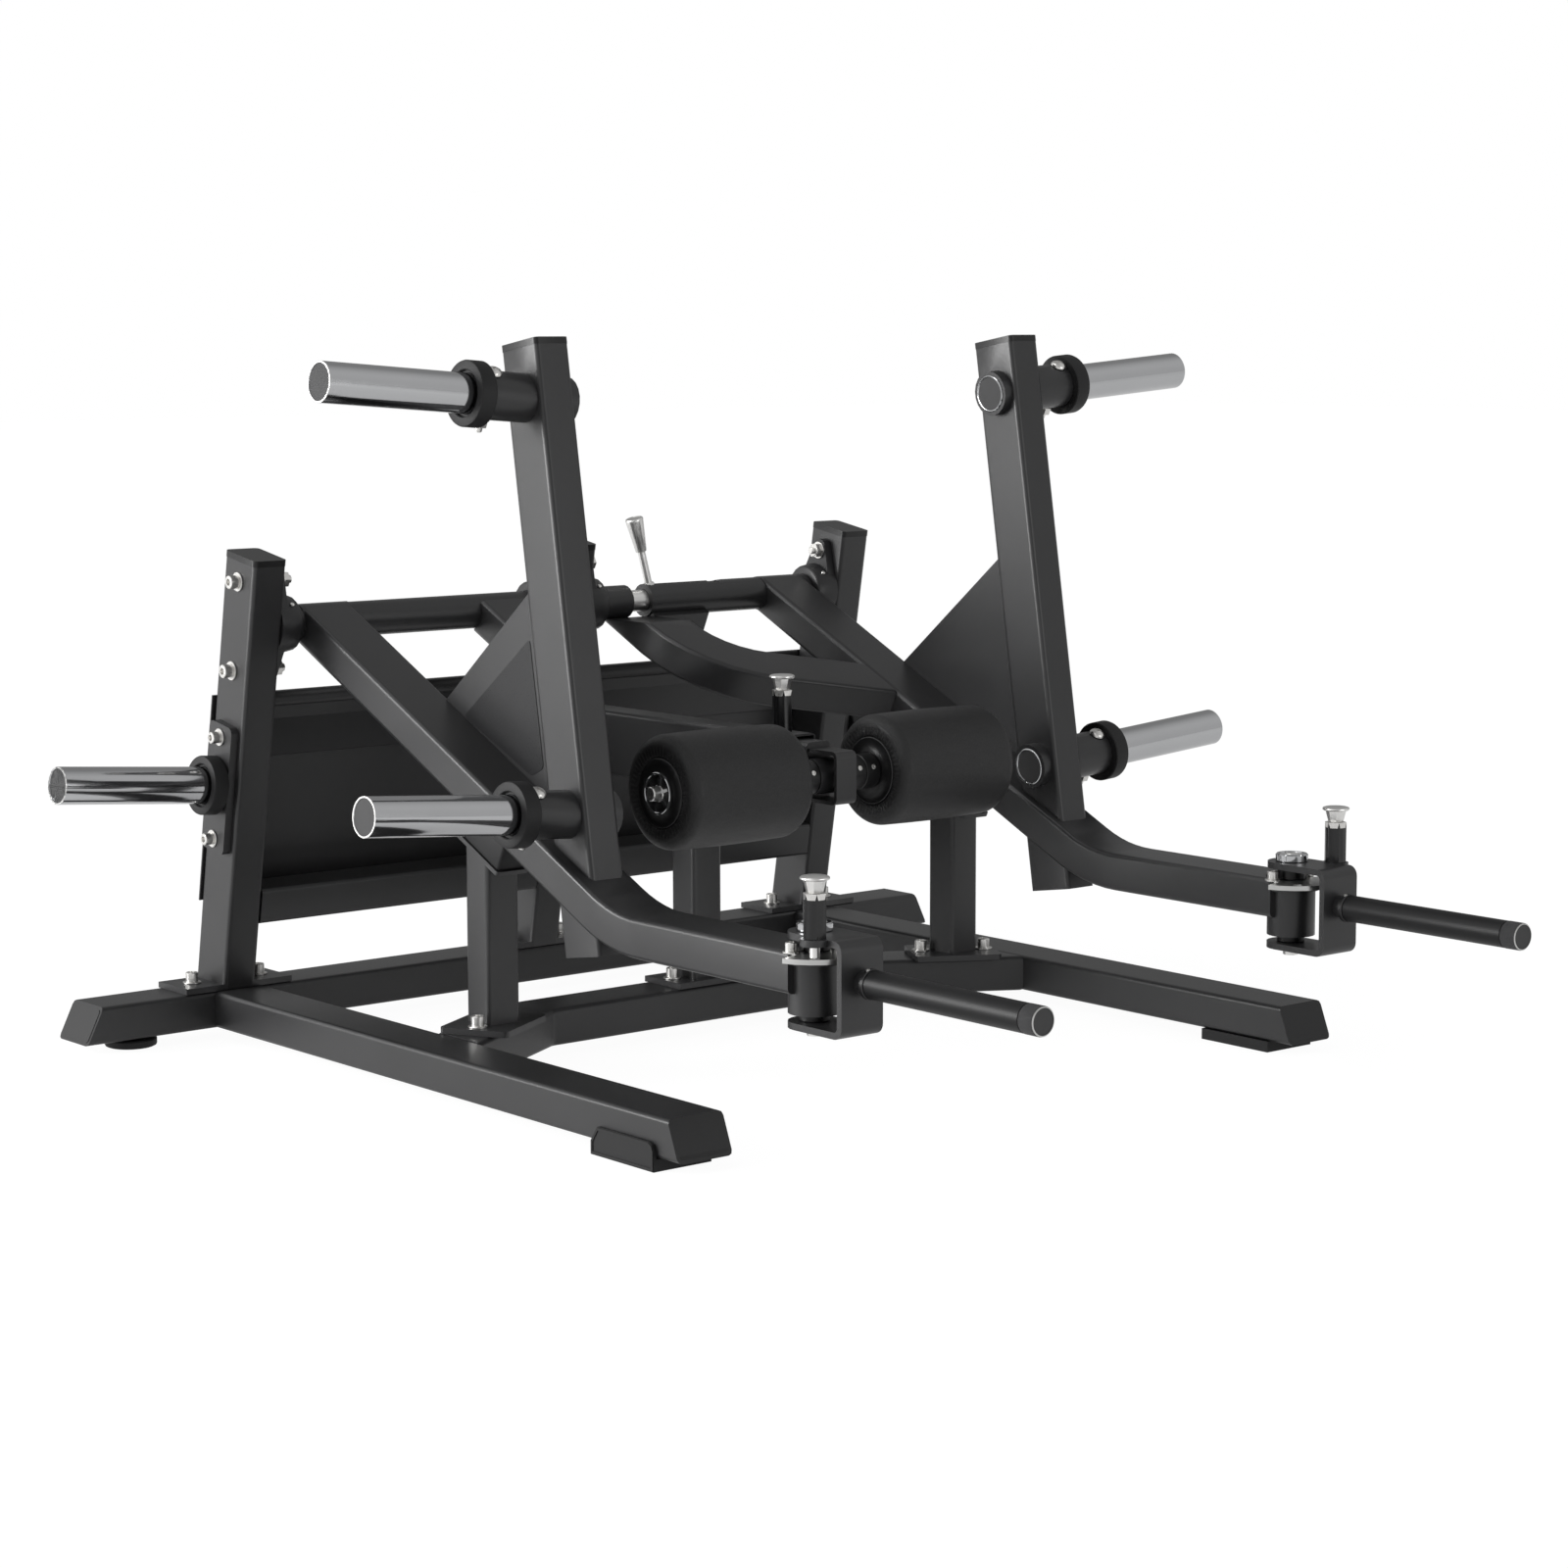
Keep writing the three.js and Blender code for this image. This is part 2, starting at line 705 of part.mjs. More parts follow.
const sleeveRear = uprightAt(0, sleeveMid).addScaledVector(
  Y, -uprightDepth / 2 / cos(uprightLean) - gap);
const sleeveTube = tube(sleeveHeight, sleeveWidth, [sleeveRear, V(0, -sleeveFront, sleeveMid)], X, {
  firstCut: leanAxis.clone().negate(),
});
const sleeveTop = sleeveBottom + sleeveHeight;
const hexOutline = (width) => roundOutline(width / 2 / cos(30), 6);
const housing = (x, y, z, radius, height, hexWidth, hexHeight) => join(
  rod(radius, V(x, y, z), V(x, y, z + height), wideSides),
  plate(hexOutline(hexWidth), V(x, y, z), X, Y, 0, height + hexHeight));
const pinBore = rod(
  bore(pinRadius, slimSides), V(0, -pinReach, sleeveTop - tubeWall - overrun),
  V(0, -pinReach, sleeveTop + pinHousingHeight + pinHexHeight + overrun), slimSides);
const centreBeam = cut(
  join(sleeveTube.whole, housing(
    0, -pinReach, sleeveTop - tubeWall / 2, pinHousingRadius, pinHousingHeight, pinHexWidth,
    pinHexHeight)),
  pinBore);
add(frame, "centre_beam", centreBeam, powder());

// Mushroom knob on a plain pin; the nose stands just clear of the piece it locks
function plunger(x, y, noseZ, radius, headZ, headRadius, headHeight, waistRadius) {
  const head = headZ - noseZ;
  return turned([
    [0, 0], [0, radius - gap], [radius - gap, radius], [head, radius], [head, waistRadius],
    [head + headHeight / 3, waistRadius], [head + headHeight / 2, headRadius - gap],
    [head + headHeight * 2 / 3, headRadius], [head + headHeight - radius / 2, headRadius - radius / 2],
    [head + headHeight, headRadius / 2], [head + headHeight, 0],
  ], V(x, y, noseZ), Z, slimSides);
}

const carrierLow = sleeveBottom + tubeWall + gap;
const carrierTop = carrierLow + carrierHeight;
const pinHead = sleeveTop - tubeWall / 2 + pinHousingHeight + pinHexHeight + gap;
add(frame, "roller_pull_pin", plunger(
  0, -pinReach, carrierTop + gap, pinRadius, pinHead, knobRadius, knobHeight, knobWaistRadius),
finish(0x151515, 0.5, 0.1));

// Roller carrier: square tube with index holes, an open yoke and the axle boss
const carrierMid = carrierLow + carrierHeight / 2;
const carrierTube = tube(carrierHeight, carrierWidth, [
  V(0, -carrierRear, carrierMid), V(0, -carrierFront, carrierMid),
], X, { lastCap: carrierEndPlate });
const yokeHalf = yokeHeight / 2;
const yokeOutline = (reach, half, bend) => filleted([
  [-reach, rollerHeight - half, bend], [-carrierFront + carrierEndPlate / 2, rollerHeight - half, 0],
  [-carrierFront + carrierEndPlate / 2, rollerHeight + half, 0], [-reach, rollerHeight + half, bend],
], true);
const yoke = (reach, half, bend, width) =>
  plate(yokeOutline(reach, half, bend), V(-width / 2, 0, 0), Y, Z, 0, width);
const yokeShell = cut(
  yoke(yokeReach, yokeHalf, yokeBend, yokeWidth),
  yoke(yokeReach - yokePlate, yokeHalf - yokePlate, yokeBend - yokePlate, yokeWidth + 2 * overrun));
const rollerAt = (x) => V(x, -rollerReach, rollerHeight);
const boss = rod(bossRadius, rollerAt(-bossHalf), rollerAt(bossHalf), wideSides);
const axleBore = rod(
  bore(axleRadius, slimSides), rollerAt(-bossHalf - overrun), rollerAt(bossHalf + overrun), slimSides);
const indexHoles = Array.from({ length: carrierHoles }, (_, i) => {
  const y = -pinReach + i * carrierHolePitch;
  return rod(
    carrierHoleRadius, V(0, y, carrierTop - tubeWall - overrun), V(0, y, carrierTop + overrun), slimSides);
});
const carrier = cut(
  join(carrierTube.outer, yokeShell, boss), carrierTube.hollow, axleBore, ...indexHoles);
add(carriage, "roller_carrier", carrier, powder());

const axle = join(
  rod(axleRadius, rollerAt(-rollerOuter - gap), rollerAt(rollerOuter + gap), slimSides),
  ...[-1, 1].map((side) => join(
    rod(axleWasherRadius, rollerAt(side * (rollerOuter + gap)),
      rollerAt(side * (rollerOuter + gap + axleWasher)), wideSides),
    rod(axleBoltRadius, rollerAt(side * (rollerOuter + gap)), rollerAt(side * axleReach), slimSides))));
add(carriage, "roller_axle", axle, chrome());

// Foam rollers: shallow crown, round shoulders and a recessed end disc
const rollerLength = rollerOuter - rollerInner;
const rollerHalfProfile = [];
for (let i = 0; i <= shoulderSteps; i++) {
  const turn = 90 * i / shoulderSteps;
  rollerHalfProfile.push([
    rollerShoulder * (1 - cos(turn)),
    rollerRadius - rollerCrown - rollerShoulder * (1 - sin(turn)),
  ]);
}
const rollerBore = bore(axleRadius, slimSides);
const rollerProfile = [
  [rollerEndRecess, rollerBore], [rollerEndRecess, rollerEndDisc - rollerEndRecess],
  [0, rollerEndDisc], ...rollerHalfProfile, [rollerLength / 2, rollerRadius],
  ...rollerHalfProfile.map(([s, r]) => [rollerLength - s, r]).reverse(),
  [rollerLength, rollerEndDisc],
  [rollerLength - rollerEndRecess, rollerEndDisc - rollerEndRecess],
  [rollerLength - rollerEndRecess, rollerBore],
];
pair(carriage, "roller_pad", turned(rollerProfile, rollerAt(rollerInner), X, fineSides), vinyl);

// Arm beam: rounded pivot end, straight run, one wide bend, level nose and the swivel barrel
const slopeRun = (pivotHeight - armLevel) / tan(armSlope);
const beamPath = filleted([
  [-pivotReach, pivotHeight, 0], [-pivotReach - slopeRun, armLevel, armBendRadius],
  [-handleReach, armLevel, 0],
]).map(([y, z]) => V(armCentre, y, z));
const beamTube = tube(armHeight, armWidth, beamPath, X, {
  lastCap: barrelRadius + tubeWall, firstCap: tubeWall,
});
const beamEnd = rod(
  armHeight / 2, pivotAt(armCentre - armWidth / 2), pivotAt(armCentre + armWidth / 2), wideSides);
const armOuter = armCentre + armWidth / 2;
const armInner = armCentre - armWidth / 2;
const spacerEnd = outerBearingFace - bearingWidth - gap;
const spacer = rod(pivotTubeRadius, pivotAt(armOuter - tubeWall), pivotAt(spacerEnd), wideSides);
const outerShaft = rod(shaftRadius, pivotAt(armOuter), pivotAt(shaftReach), slimSides);
const swivelAt = (z) => V(armCentre, -handleReach, z);
const barrelBore = rod(
  bore(swivelPinRadius, slimSides), swivelAt(barrelBottom - overrun),
  swivelAt(barrelTop + barrelFlange + indexPlate + overrun), slimSides);
const flangeTop = barrelTop + barrelFlange;
const indexOutline = [[0, 0]];
for (let i = 0; i <= wideSides / 2; i++) {
  const turn = indexFrom + (indexTo - indexFrom) * i / (wideSides / 2);
  indexOutline.push([indexRadius * cos(turn), indexRadius * sin(turn)]);
}
const indexSector = plate(indexOutline, swivelAt(flangeTop), X, Y, 0, indexPlate);
const indexDisc = rod(barrelFlangeRadius, swivelAt(barrelTop), swivelAt(flangeTop + indexPlate), wideSides);
const plungerHoles = Array.from({ length: indexCount }, (_, i) => {
  const turn = indexRest - i * indexStep;
  const offset = V(indexHoleReach * cos(turn), indexHoleReach * sin(turn), 0);
  return rod(
    bore(indexPinRadius, slimSides), swivelAt(flangeTop - overrun).add(offset),
    swivelAt(flangeTop + indexPlate + overrun).add(offset), slimSides);
});
const noseClear = rod(
  barrelFlangeRadius - tubeWall, swivelAt(barrelTop), swivelAt(armLevel + armHeight), wideSides);

// Blade: leans back through the arm and carries the horn sleeves
const bladeAxis = V(0, sin(bladeLean), cos(bladeLean));
const bladeY = (z) => -bladeReach + (z - bladeReachHeight) * tan(bladeLean);
const bladeAt = (z) => V(bladeCentre, bladeY(z), z);
const bladeTube = tube(bladeDepth, bladeWidth, [bladeAt(bladeBottom), bladeAt(bladeTop)], X, {
  lastCap: capThickness,
});
const bladeSlot = sweep(
  roundedOutline(bladeDepth + 2 * gap, bladeWidth + 2 * gap, tubeCorner),
  stations([bladeAt(bladeBottom - overrun), bladeAt(bladeTop)], X));
const armBeam = cut(
  join(
    cut(join(beamTube.outer, beamEnd, spacer), noseClear),
    outerShaft, rod(barrelRadius, swivelAt(barrelBottom), swivelAt(barrelTop + gap), wideSides),
    indexDisc, indexSector),
  beamTube.hollow, bladeSlot, barrelBore);
pair(arms, "arm_beam", cut(armBeam, ...plungerHoles), powder);

const hornAxis = V(cos(hornTilt), 0, sin(hornTilt));
const hornAt = (height, x) => bladeAt(height).addScaledVector(
  hornAxis, (x - bladeCentre) / cos(hornTilt));
const hornSleeve = (height) => rod(
  hornSleeveRadius, hornAt(height, hornSleeveInner), hornAt(height, hornSleeveEnd), wideSides);
const hornBore = (height) => rod(
  bore(hornRadius, wideSides), hornAt(height, hornSleeveInner - overrun),
  hornAt(height, hornSleeveEnd + overrun), wideSides);
const boltHole = (height) => rod(
  hornBoltRadius, hornAt(height, hornBoltX).addScaledVector(over, -hornSleeveRadius - overrun),
  hornAt(height, hornBoltX).addScaledVector(over, hornSleeveRadius + overrun), slimSides);
const hornHeights = { upper: upperHornHeight, lower: lowerHornHeight };
const heights = Object.values(hornHeights);
const blade = cut(
  join(bladeTube.whole, ...heights.map(hornSleeve)), ...heights.map(hornBore),
  ...heights.map(boltHole));
pair(arms, "blade", blade, powder);

for (const [level, height] of Object.entries(hornHeights)) {
  const length = (hornTip - hornInner) / cos(hornTilt);
  const bar = turned([
    [hornDiscRecess, 0], [hornDiscRecess, hornRadius - hornWall / 2], [0, hornRadius - hornWall / 2],
    [0, hornRadius], [length, hornRadius], [length, hornRadius - hornWall / 2],
    [length - hornDiscRecess, hornRadius - hornWall / 2], [length - hornDiscRecess, 0],
  ], hornAt(height, hornInner), hornAxis, wideSides);
  const hollow = rod(
    hornRadius - hornWall, hornAt(height, hornInner + hornDisc + hornDiscRecess),
    hornAt(height, hornTip - hornDisc - hornDiscRecess), slimSides);
  pair(arms, `${level}_horn`, cut(bar, hollow, boltHole(height)), chrome);
  const collar = turned([
    [0, bore(hornRadius, wideSides)], [0, collarRadius],
    [collarWidth - collarBevel, collarRadius], [collarWidth, collarRadius - collarBevel],
    [collarWidth, collarRecessRadius], [collarWidth - collarRecess, collarRecessRadius],
    [collarWidth - collarRecess, bore(hornRadius, wideSides)],
  ], hornAt(height, hornSleeveEnd + gap), hornAxis, wideSides);
  pair(arms, `${level}_horn_collar`, collar, rubber);
}

// Gusset plates stand on the arms' right-hand sides with a lip folded over the blade's rear face
const bladeRear = (z) => bladeY(z) + bladeDepth / 2 / cos(bladeLean) + gap;
const gussetToeAt = armAt(0, gussetToe, armHeight / 2 + gap);
const beamTopAt = (y) => gussetToeAt.z + (y - gussetToeAt.y) * tan(armSlope);
const heelY = (() => {
  let y = bladeY(bladeReachHeight);
  for (let i = 0; i < wideSides; i++) y = bladeRear(beamTopAt(y));
  return y;
})();
function gusset(side) {
  const outerX = side > 0 ? armOuter : -armInner;
  const shape = [
    [gussetToeAt.y, gussetToeAt.z],
    [heelY - gussetLap, beamTopAt(heelY - gussetLap)],
    [bladeRear(gussetTopHeight) - gussetLap, gussetTopHeight],
  ];
  const sheetPlate = plate(shape, V(outerX - gussetPlate, 0, 0), Y, Z, 0, gussetPlate);
  const lipEdge = side > 0 ? outerX - gussetFlangeWidth : outerX - gussetPlate - gussetFlangeWidth;
  const lip = plate([
    [heelY, beamTopAt(heelY)],
    [heelY + gussetPlate, beamTopAt(heelY + gussetPlate)],
    [bladeRear(gussetFlangeTop) + gussetPlate, gussetFlangeTop - gussetPlate],
    [bladeRear(gussetFlangeTop), gussetFlangeTop],
  ], V(lipEdge, 0, 0), Y, Z, 0, outerX - gussetPlate / 2 - lipEdge);
  return join(sheetPlate, lip);
}
add(arms.right, "right_gusset", gusset(1), powder());
add(arms.left, "left_gusset", gusset(-1), powder());

// Curved braces run in the plane of the slope from the pivot to the inner side of each beam
const braceEnd = braceCorner + (armInner - gap - braceCentre) * tan(90 - braceTurn);
const bracePath = filleted([
  [braceCentre, braceStart, 0], [braceCentre, braceCorner, braceBendRadius],
  [armInner - gap, braceEnd, 0],
]).map(([x, u]) => armAt(x, u, 0));
const braceTube = tube(armWidth, armHeight, bracePath, over, { lastCut: ahead.clone().negate() });
const pivotCope = (from, to, radius) => rod(radius, pivotAt(from), pivotAt(to), wideSides);
const braceInner = braceCentre - armWidth / 2 - overrun;
const braceOuter = braceCentre + armWidth / 2 + overrun;
const cope = pivotCope(braceInner, braceOuter, bore(pivotTubeRadius, wideSides));
const coped = cut(braceTube.whole, cope);
add(arms.left, "left_arm_brace", mirrored(coped), powder());

// Pivot tubes. The right arm's tube is slotted and stands apart from its stub by the open throat
const noseBore = (from, to) => rod(bore(noseRadius, slimSides), pivotAt(from), pivotAt(to), slimSides);
const shaftEnd = uprightHalf + gap + tubeWall / 2;
const stubForm = (end) => join(
  rod(shaftRadius, pivotAt(shaftEnd), pivotAt(leftTubeEnd + overrun), slimSides),
  rod(pivotTubeRadius, pivotAt(leftTubeEnd), pivotAt(end), wideSides));
const stub = cut(stubForm(stubEnd), noseBore(shaftEnd - overrun, stubEnd + overrun));
const throatTop = pivotHeight - pivotTubeRadius + tubeWall / 2;
const aboveThroat = block(
  [braceInner, braceOuter], [-pivotReach - 2 * armWidth, 0], [throatTop, pivotHeight + armWidth]);
const throatCover = braceTube.outer.intersect(block(
  [braceInner, braceOuter], [-pivotReach - 2 * armWidth, 0], [throatTop - tubeWall, throatTop]));
const strut = plate(
  roundedOutline(strutDepth, strutOuter - strutInner, bumperCorner),
  armAt((strutInner + strutOuter) / 2, strutAhead, 0), ahead, X, -strutReach, -strutSeat);
const rightBrace = join(
  cut(join(cut(braceTube.whole, aboveThroat), throatCover, strut),
    pivotCope(stubEnd + gap, armInner, bore(pivotTubeRadius, wideSides))),
  stub);
add(arms.right, "right_arm_brace", rightBrace, powder());

const leftPivotTube = cut(
  stubForm(armInner - gap), noseBore(shaftEnd - overrun, leftBoreEnd + overrun),
  rod(pivotTubeBore, pivotAt(leftBoreEnd), pivotAt(armInner + overrun), wideSides));
add(arms.left, "left_pivot_tube", mirrored(leftPivotTube), powder());

const slotOutline = (from, to, width) =>
  roundedOutline(to - from, width, width / 2 - gap).map(([u, v]) => [(from + to) / 2 + u, v]);
const slotCut = (from, to, width) => plate(
  slotOutline(from, to, width), V(0, -pivotReach, pivotHeight), X, Y, 0, pivotTubeRadius + overrun);
const rightPivotTube = cut(
  rod(pivotTubeRadius, pivotAt(rightTubeStart), pivotAt(armInner - gap), wideSides),
  rod(bore(rodRadius, wideSides), pivotAt(rightTubeStart - overrun), pivotAt(armInner + overrun),
    wideSides),
  slotCut(slotStart, slotEnd + slotWidth / 2, slotWidth), slotCut(slotEnd, notchEnd, notchWidth));
add(arms.right, "right_pivot_tube", rightPivotTube, powder());

// Coupler: a stepped bar whose nose reaches through the middle bearings into the left arm's tube
const couplerProfile = [
  [0, 0], [0, noseRadius - noseChamfer], [noseChamfer, noseRadius],
  [noseReach + stubEnd + gap, noseRadius], [noseReach + stubEnd + gap, rodRadius],
  [noseReach + rodEnd - noseChamfer, rodRadius], [noseReach + rodEnd, rodRadius - noseChamfer],
  [noseReach + rodEnd, 0],
];
const leverAxis = V(-sin(leverLean), 0, cos(leverLean));
const leverStem = rod(
  leverRadius, pivotAt(leverCentre), pivotAt(leverCentre).addScaledVector(leverAxis, leverLength - gap),
  slimSides);
const leverGrip = turned([
  [0, 0], [0, leverGripFoot], [leverGripLength - noseChamfer, leverGripTop],
  [leverGripLength, leverGripTop - noseChamfer], [leverGripLength, 0],
], pivotAt(leverCentre).addScaledVector(leverAxis, leverLength - leverGripLength), leverAxis, slimSides);
const coupler = join(
  turned(couplerProfile, pivotAt(-noseReach), X, wideSides), leverStem, leverGrip);
add(arms.right, "coupler_rod", coupler, zinc());

// Storage horns on the outer faces of the outer uprights
const storageX = railCentre + uprightHalf + gap;
const storageAxis = V(cos(storageTilt), 0, sin(storageTilt));
const storageAt = (x) => uprightAt(storageX + storagePlate, storageHeight).addScaledVector(
  storageAxis, (x - storageX - storagePlate) / cos(storageTilt));
const storagePlateMid = (storagePlateTop + storagePlateBottom) / 2;
const storagePad = plate(
  roundedOutline(
    storagePlateDepth, (storagePlateTop - storagePlateBottom) / cos(uprightLean), storagePlateCorner),
  uprightAt(storageX, storagePlateMid), leanDepth, leanAxis, 0, storagePlate);
const storageBar = cut(
  rod(hornRadius, storageAt(storageX + storagePlate / 2), storageAt(storageTip), wideSides),
  rod(hornRadius - hornWall / 2, storageAt(storageTip).addScaledVector(storageAxis, -hornDiscRecess),
    storageAt(storageTip + overrun), wideSides));
const storageHollow = rod(
  hornRadius - hornWall, storageAt(storageX - overrun),
  storageAt(storageTip - hornDisc - hornDiscRecess), slimSides);
const storageTrim = block(
  [storageX - hornRadius, storageX], [-pivotReach, pivotReach], [storagePlateBottom, storagePlateTop]);
pair(frame, "storage_horn", cut(join(storagePad, storageBar), storageHollow, storageTrim), chrome);
const storageCollarStart = -storageCollarRadius * tan(storageTilt);
const storageCollar = cut(turned([
  [storageCollarStart, bore(hornRadius, wideSides)], [storageCollarStart, storageCollarRadius],
  [storageCollarWidth - collarBevel, storageCollarRadius],
  [storageCollarWidth, storageCollarRadius - collarBevel],
  [storageCollarWidth, collarRecessRadius],
  [storageCollarWidth - collarRecess, collarRecessRadius],
  [storageCollarWidth - collarRecess, bore(hornRadius, wideSides)],
], storageAt(storageX + storagePlate + gap), storageAxis, wideSides),
block(
  [storageX - hornRadius, storageX + storagePlate + gap], [-handleReach, handleReach],
  [0, pivotHeight]));
pair(frame, "storage_collar", storageCollar, rubber);

// Handle clevis: a bent strap round the barrel, its indexed ear, plunger housing and grip bar
const strapFront = -handleReach - clevisReach;
const strapRear = -handleReach + clevisWidth / 2;
const strapOutline = filleted([
  [strapRear, clevisBottom, 0], [strapRear, clevisBottom + clevisPlate, 0],
  [strapFront + clevisPlate, clevisBottom + clevisPlate, clevisInnerBend],
  [strapFront + clevisPlate, clevisTop - clevisPlate, clevisInnerBend],
  [strapRear, clevisTop - clevisPlate, 0], [strapRear, clevisTop, 0],
  [strapFront, clevisTop, clevisBend], [strapFront, clevisBottom, clevisBend],
], true);
const strap = plate(
  strapOutline, V(armCentre - clevisWidth / 2, 0, 0), Y, Z, 0, clevisWidth);
const planForm = join(
  block([armCentre - clevisWidth / 2 - overrun, armCentre + clevisWidth / 2 + overrun],
    [strapFront - overrun, -handleReach], [clevisBottom - overrun, clevisTop + overrun]),
  rod(clevisWidth / 2, swivelAt(clevisBottom - overrun), swivelAt(clevisTop + overrun), wideSides));
const earOffset = V(indexHoleReach * cos(indexRest), indexHoleReach * sin(indexRest), 0);
const earAt = (z) => swivelAt(z).add(earOffset);
const earLow = clevisTop - clevisPlate;
const earDisc = rod(clevisEarRadius, earAt(earLow), earAt(clevisTop), wideSides);
const earWeb = block(
  [armCentre, armCentre + earOffset.x],
  [-handleReach + earOffset.y - clevisEarRadius, -handleReach + earOffset.y + clevisEarRadius],
  [earLow, clevisTop]);
const plungerSeat = clevisTop - clevisPlate / 2;
const plungerTop = clevisTop + plungerHousingHeight;
const plungerHousing = housing(
  earAt(0).x, earAt(0).y, plungerSeat, plungerHousingRadius, plungerTop - plungerSeat,
  plungerHexWidth, plungerHexHeight);
const gripAt = (reach) => V(gripCentre, -reach, gripHeight);
const strapReach = handleReach + clevisReach;
const gripBar = turned([
  [0, 0], [0, gripNeckRadius], [gripRingReach - strapReach + clevisPlate / 2, gripNeckRadius],
  [gripRingReach - strapReach + clevisPlate / 2, gripRingRadius],
  [gripRingReach + gripRing - strapReach + clevisPlate / 2, gripRingRadius],
  [gripRingReach + gripRing - strapReach + clevisPlate / 2, gripCoreRadius],
  [gripEnd - gripEndRecess - strapReach + clevisPlate / 2, gripCoreRadius],
  [gripEnd - gripEndRecess - strapReach + clevisPlate / 2, 0],
], gripAt(strapReach - clevisPlate / 2), Y.clone().negate(), wideSides);
const swivelBore = rod(
  bore(swivelPinRadius, slimSides), swivelAt(clevisBottom - overrun), swivelAt(clevisTop + overrun),
  slimSides);
const plungerBore = rod(
  bore(indexPinRadius, slimSides), earAt(earLow - overrun),
  earAt(plungerTop + plungerHexHeight + overrun), slimSides);
const clevis = cut(
  join(strap.intersect(planForm), earDisc, earWeb, plungerHousing, gripBar),
  swivelBore, plungerBore);
pair(handles, "handle_bracket", clevis, powder);

const plungerNose = flangeTop + indexPlate + gap;
const plungerHead = plungerTop + plungerHexHeight + gap;
pair(handles, "index_plunger", plunger(
  earAt(0).x, earAt(0).y, plungerNose, indexPinRadius, plungerHead, plungerKnobRadius,
  plungerKnobHeight, knobWaistRadius), () => finish(0x151515, 0.5, 0.1));

const pinLow = clevisBottom - gap - swivelNutHeight;
const swivelPin = join(
  rod(swivelPinRadius, swivelAt(pinLow), swivelAt(clevisTop + gap + swivelCapBevel), slimSides),
  plate(hexOutline(swivelNutWidth), swivelAt(pinLow), X, Y, 0, swivelNutHeight),
  rod(swivelSpacerRadius, swivelAt(clevisBottom + clevisPlate + gap), swivelAt(barrelBottom - gap),
    wideSides),
  rod(swivelSpacerRadius, swivelAt(flangeTop + indexPlate + gap), swivelAt(earLow - gap), wideSides),
  turned([
    [0, 0], [0, swivelCapRadius], [swivelCapHeight - swivelCapBevel, swivelCapRadius],
    [swivelCapHeight, swivelCapRadius - swivelCapBevel], [swivelCapHeight, 0],
  ], swivelAt(clevisTop + gap), Z, wideSides));
pair(handles, "swivel_pin", swivelPin, chrome);

const gripStart = gripRingReach + gripRing + gap;
const gripLength = gripEnd - gripStart;
const grip = turned([
  [0, bore(gripCoreRadius, wideSides)], [0, gripRadius], [gripLength - gripEndRound, gripRadius],
  [gripLength, gripRadius - gripEndRound], [gripLength, bore(gripCoreRadius, wideSides)],
], gripAt(gripStart), Y.clone().negate(), wideSides);
pair(handles, "grip", grip, rubber);

// The origin lies on the floor under the middle of the machine's outline
const bounds = new THREE.Box3().setFromObject(machine);
const middle = bounds.getCenter(V(0, 0, 0));
machine.position.set(-middle.x, -middle.y, -bounds.min.z);

export default machine;
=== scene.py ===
import json
import math

import bmesh
import bpy
from mathutils import Matrix, Vector


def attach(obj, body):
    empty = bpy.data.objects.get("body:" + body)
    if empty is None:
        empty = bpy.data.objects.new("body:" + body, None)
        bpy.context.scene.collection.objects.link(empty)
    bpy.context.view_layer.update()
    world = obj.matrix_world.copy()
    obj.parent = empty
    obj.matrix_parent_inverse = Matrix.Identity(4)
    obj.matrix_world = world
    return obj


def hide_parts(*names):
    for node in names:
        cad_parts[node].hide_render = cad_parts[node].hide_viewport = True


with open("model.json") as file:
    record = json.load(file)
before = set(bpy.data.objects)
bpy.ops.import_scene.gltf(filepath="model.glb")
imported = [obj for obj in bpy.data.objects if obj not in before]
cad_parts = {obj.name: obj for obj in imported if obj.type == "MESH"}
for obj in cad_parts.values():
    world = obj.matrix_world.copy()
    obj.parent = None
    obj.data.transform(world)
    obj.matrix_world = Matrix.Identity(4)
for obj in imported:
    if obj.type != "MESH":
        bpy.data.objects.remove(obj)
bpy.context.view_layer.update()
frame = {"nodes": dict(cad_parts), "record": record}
nodes = frame["nodes"]
scene = bpy.context.scene

# Millimetres measured from the middle of the rear tube; Z from the floor
SHIFT = 728.5


def P(x, y, z):
    return Vector((x, y + SHIFT, z)) / 1000.0


def rad(a):
    return math.radians(a)


X, Y, Z = Vector((1, 0, 0)), Vector((0, 1, 0)), Vector((0, 0, 1))

# Angles in degrees: uprights, arm beams, blades, plate horns, storage horns, coupler lever
LEAN, SLOPE, BLADE_LEAN, HORN_TILT, STORE_TILT, LEVER_LEAN = 9.86, 25.43, 9.2, 4.5, 4.7, 15.0
# Places in millimetres, as the CAD has them
SIDES = (("left", -1), ("right", 1))
UPRIGHT_X, ARM_X, BLADE_X = 512.0, 401.5, 399.0
STATIONS = (("left", -UPRIGHT_X), ("middle", 0.0), ("right", UPRIGHT_X))
PIVOT_Y, PIVOT_Z, SWIVEL_Y = -86.5, 565.0, -1123.0
AXLE_Y, AXLE_Z = -670.7, 377.3
GRIP_X, GRIP_Z = 400.0, 228.0
PLATE_TOP = 73.3
GAP = 0.3
lean_axis = Vector((0, -math.sin(rad(LEAN)), math.cos(rad(LEAN))))
lean_depth = Vector((0, math.cos(rad(LEAN)), math.sin(rad(LEAN))))
ahead = Vector((0, -math.cos(rad(SLOPE)), -math.sin(rad(SLOPE))))
over = Vector((0, -math.sin(rad(SLOPE)), math.cos(rad(SLOPE))))


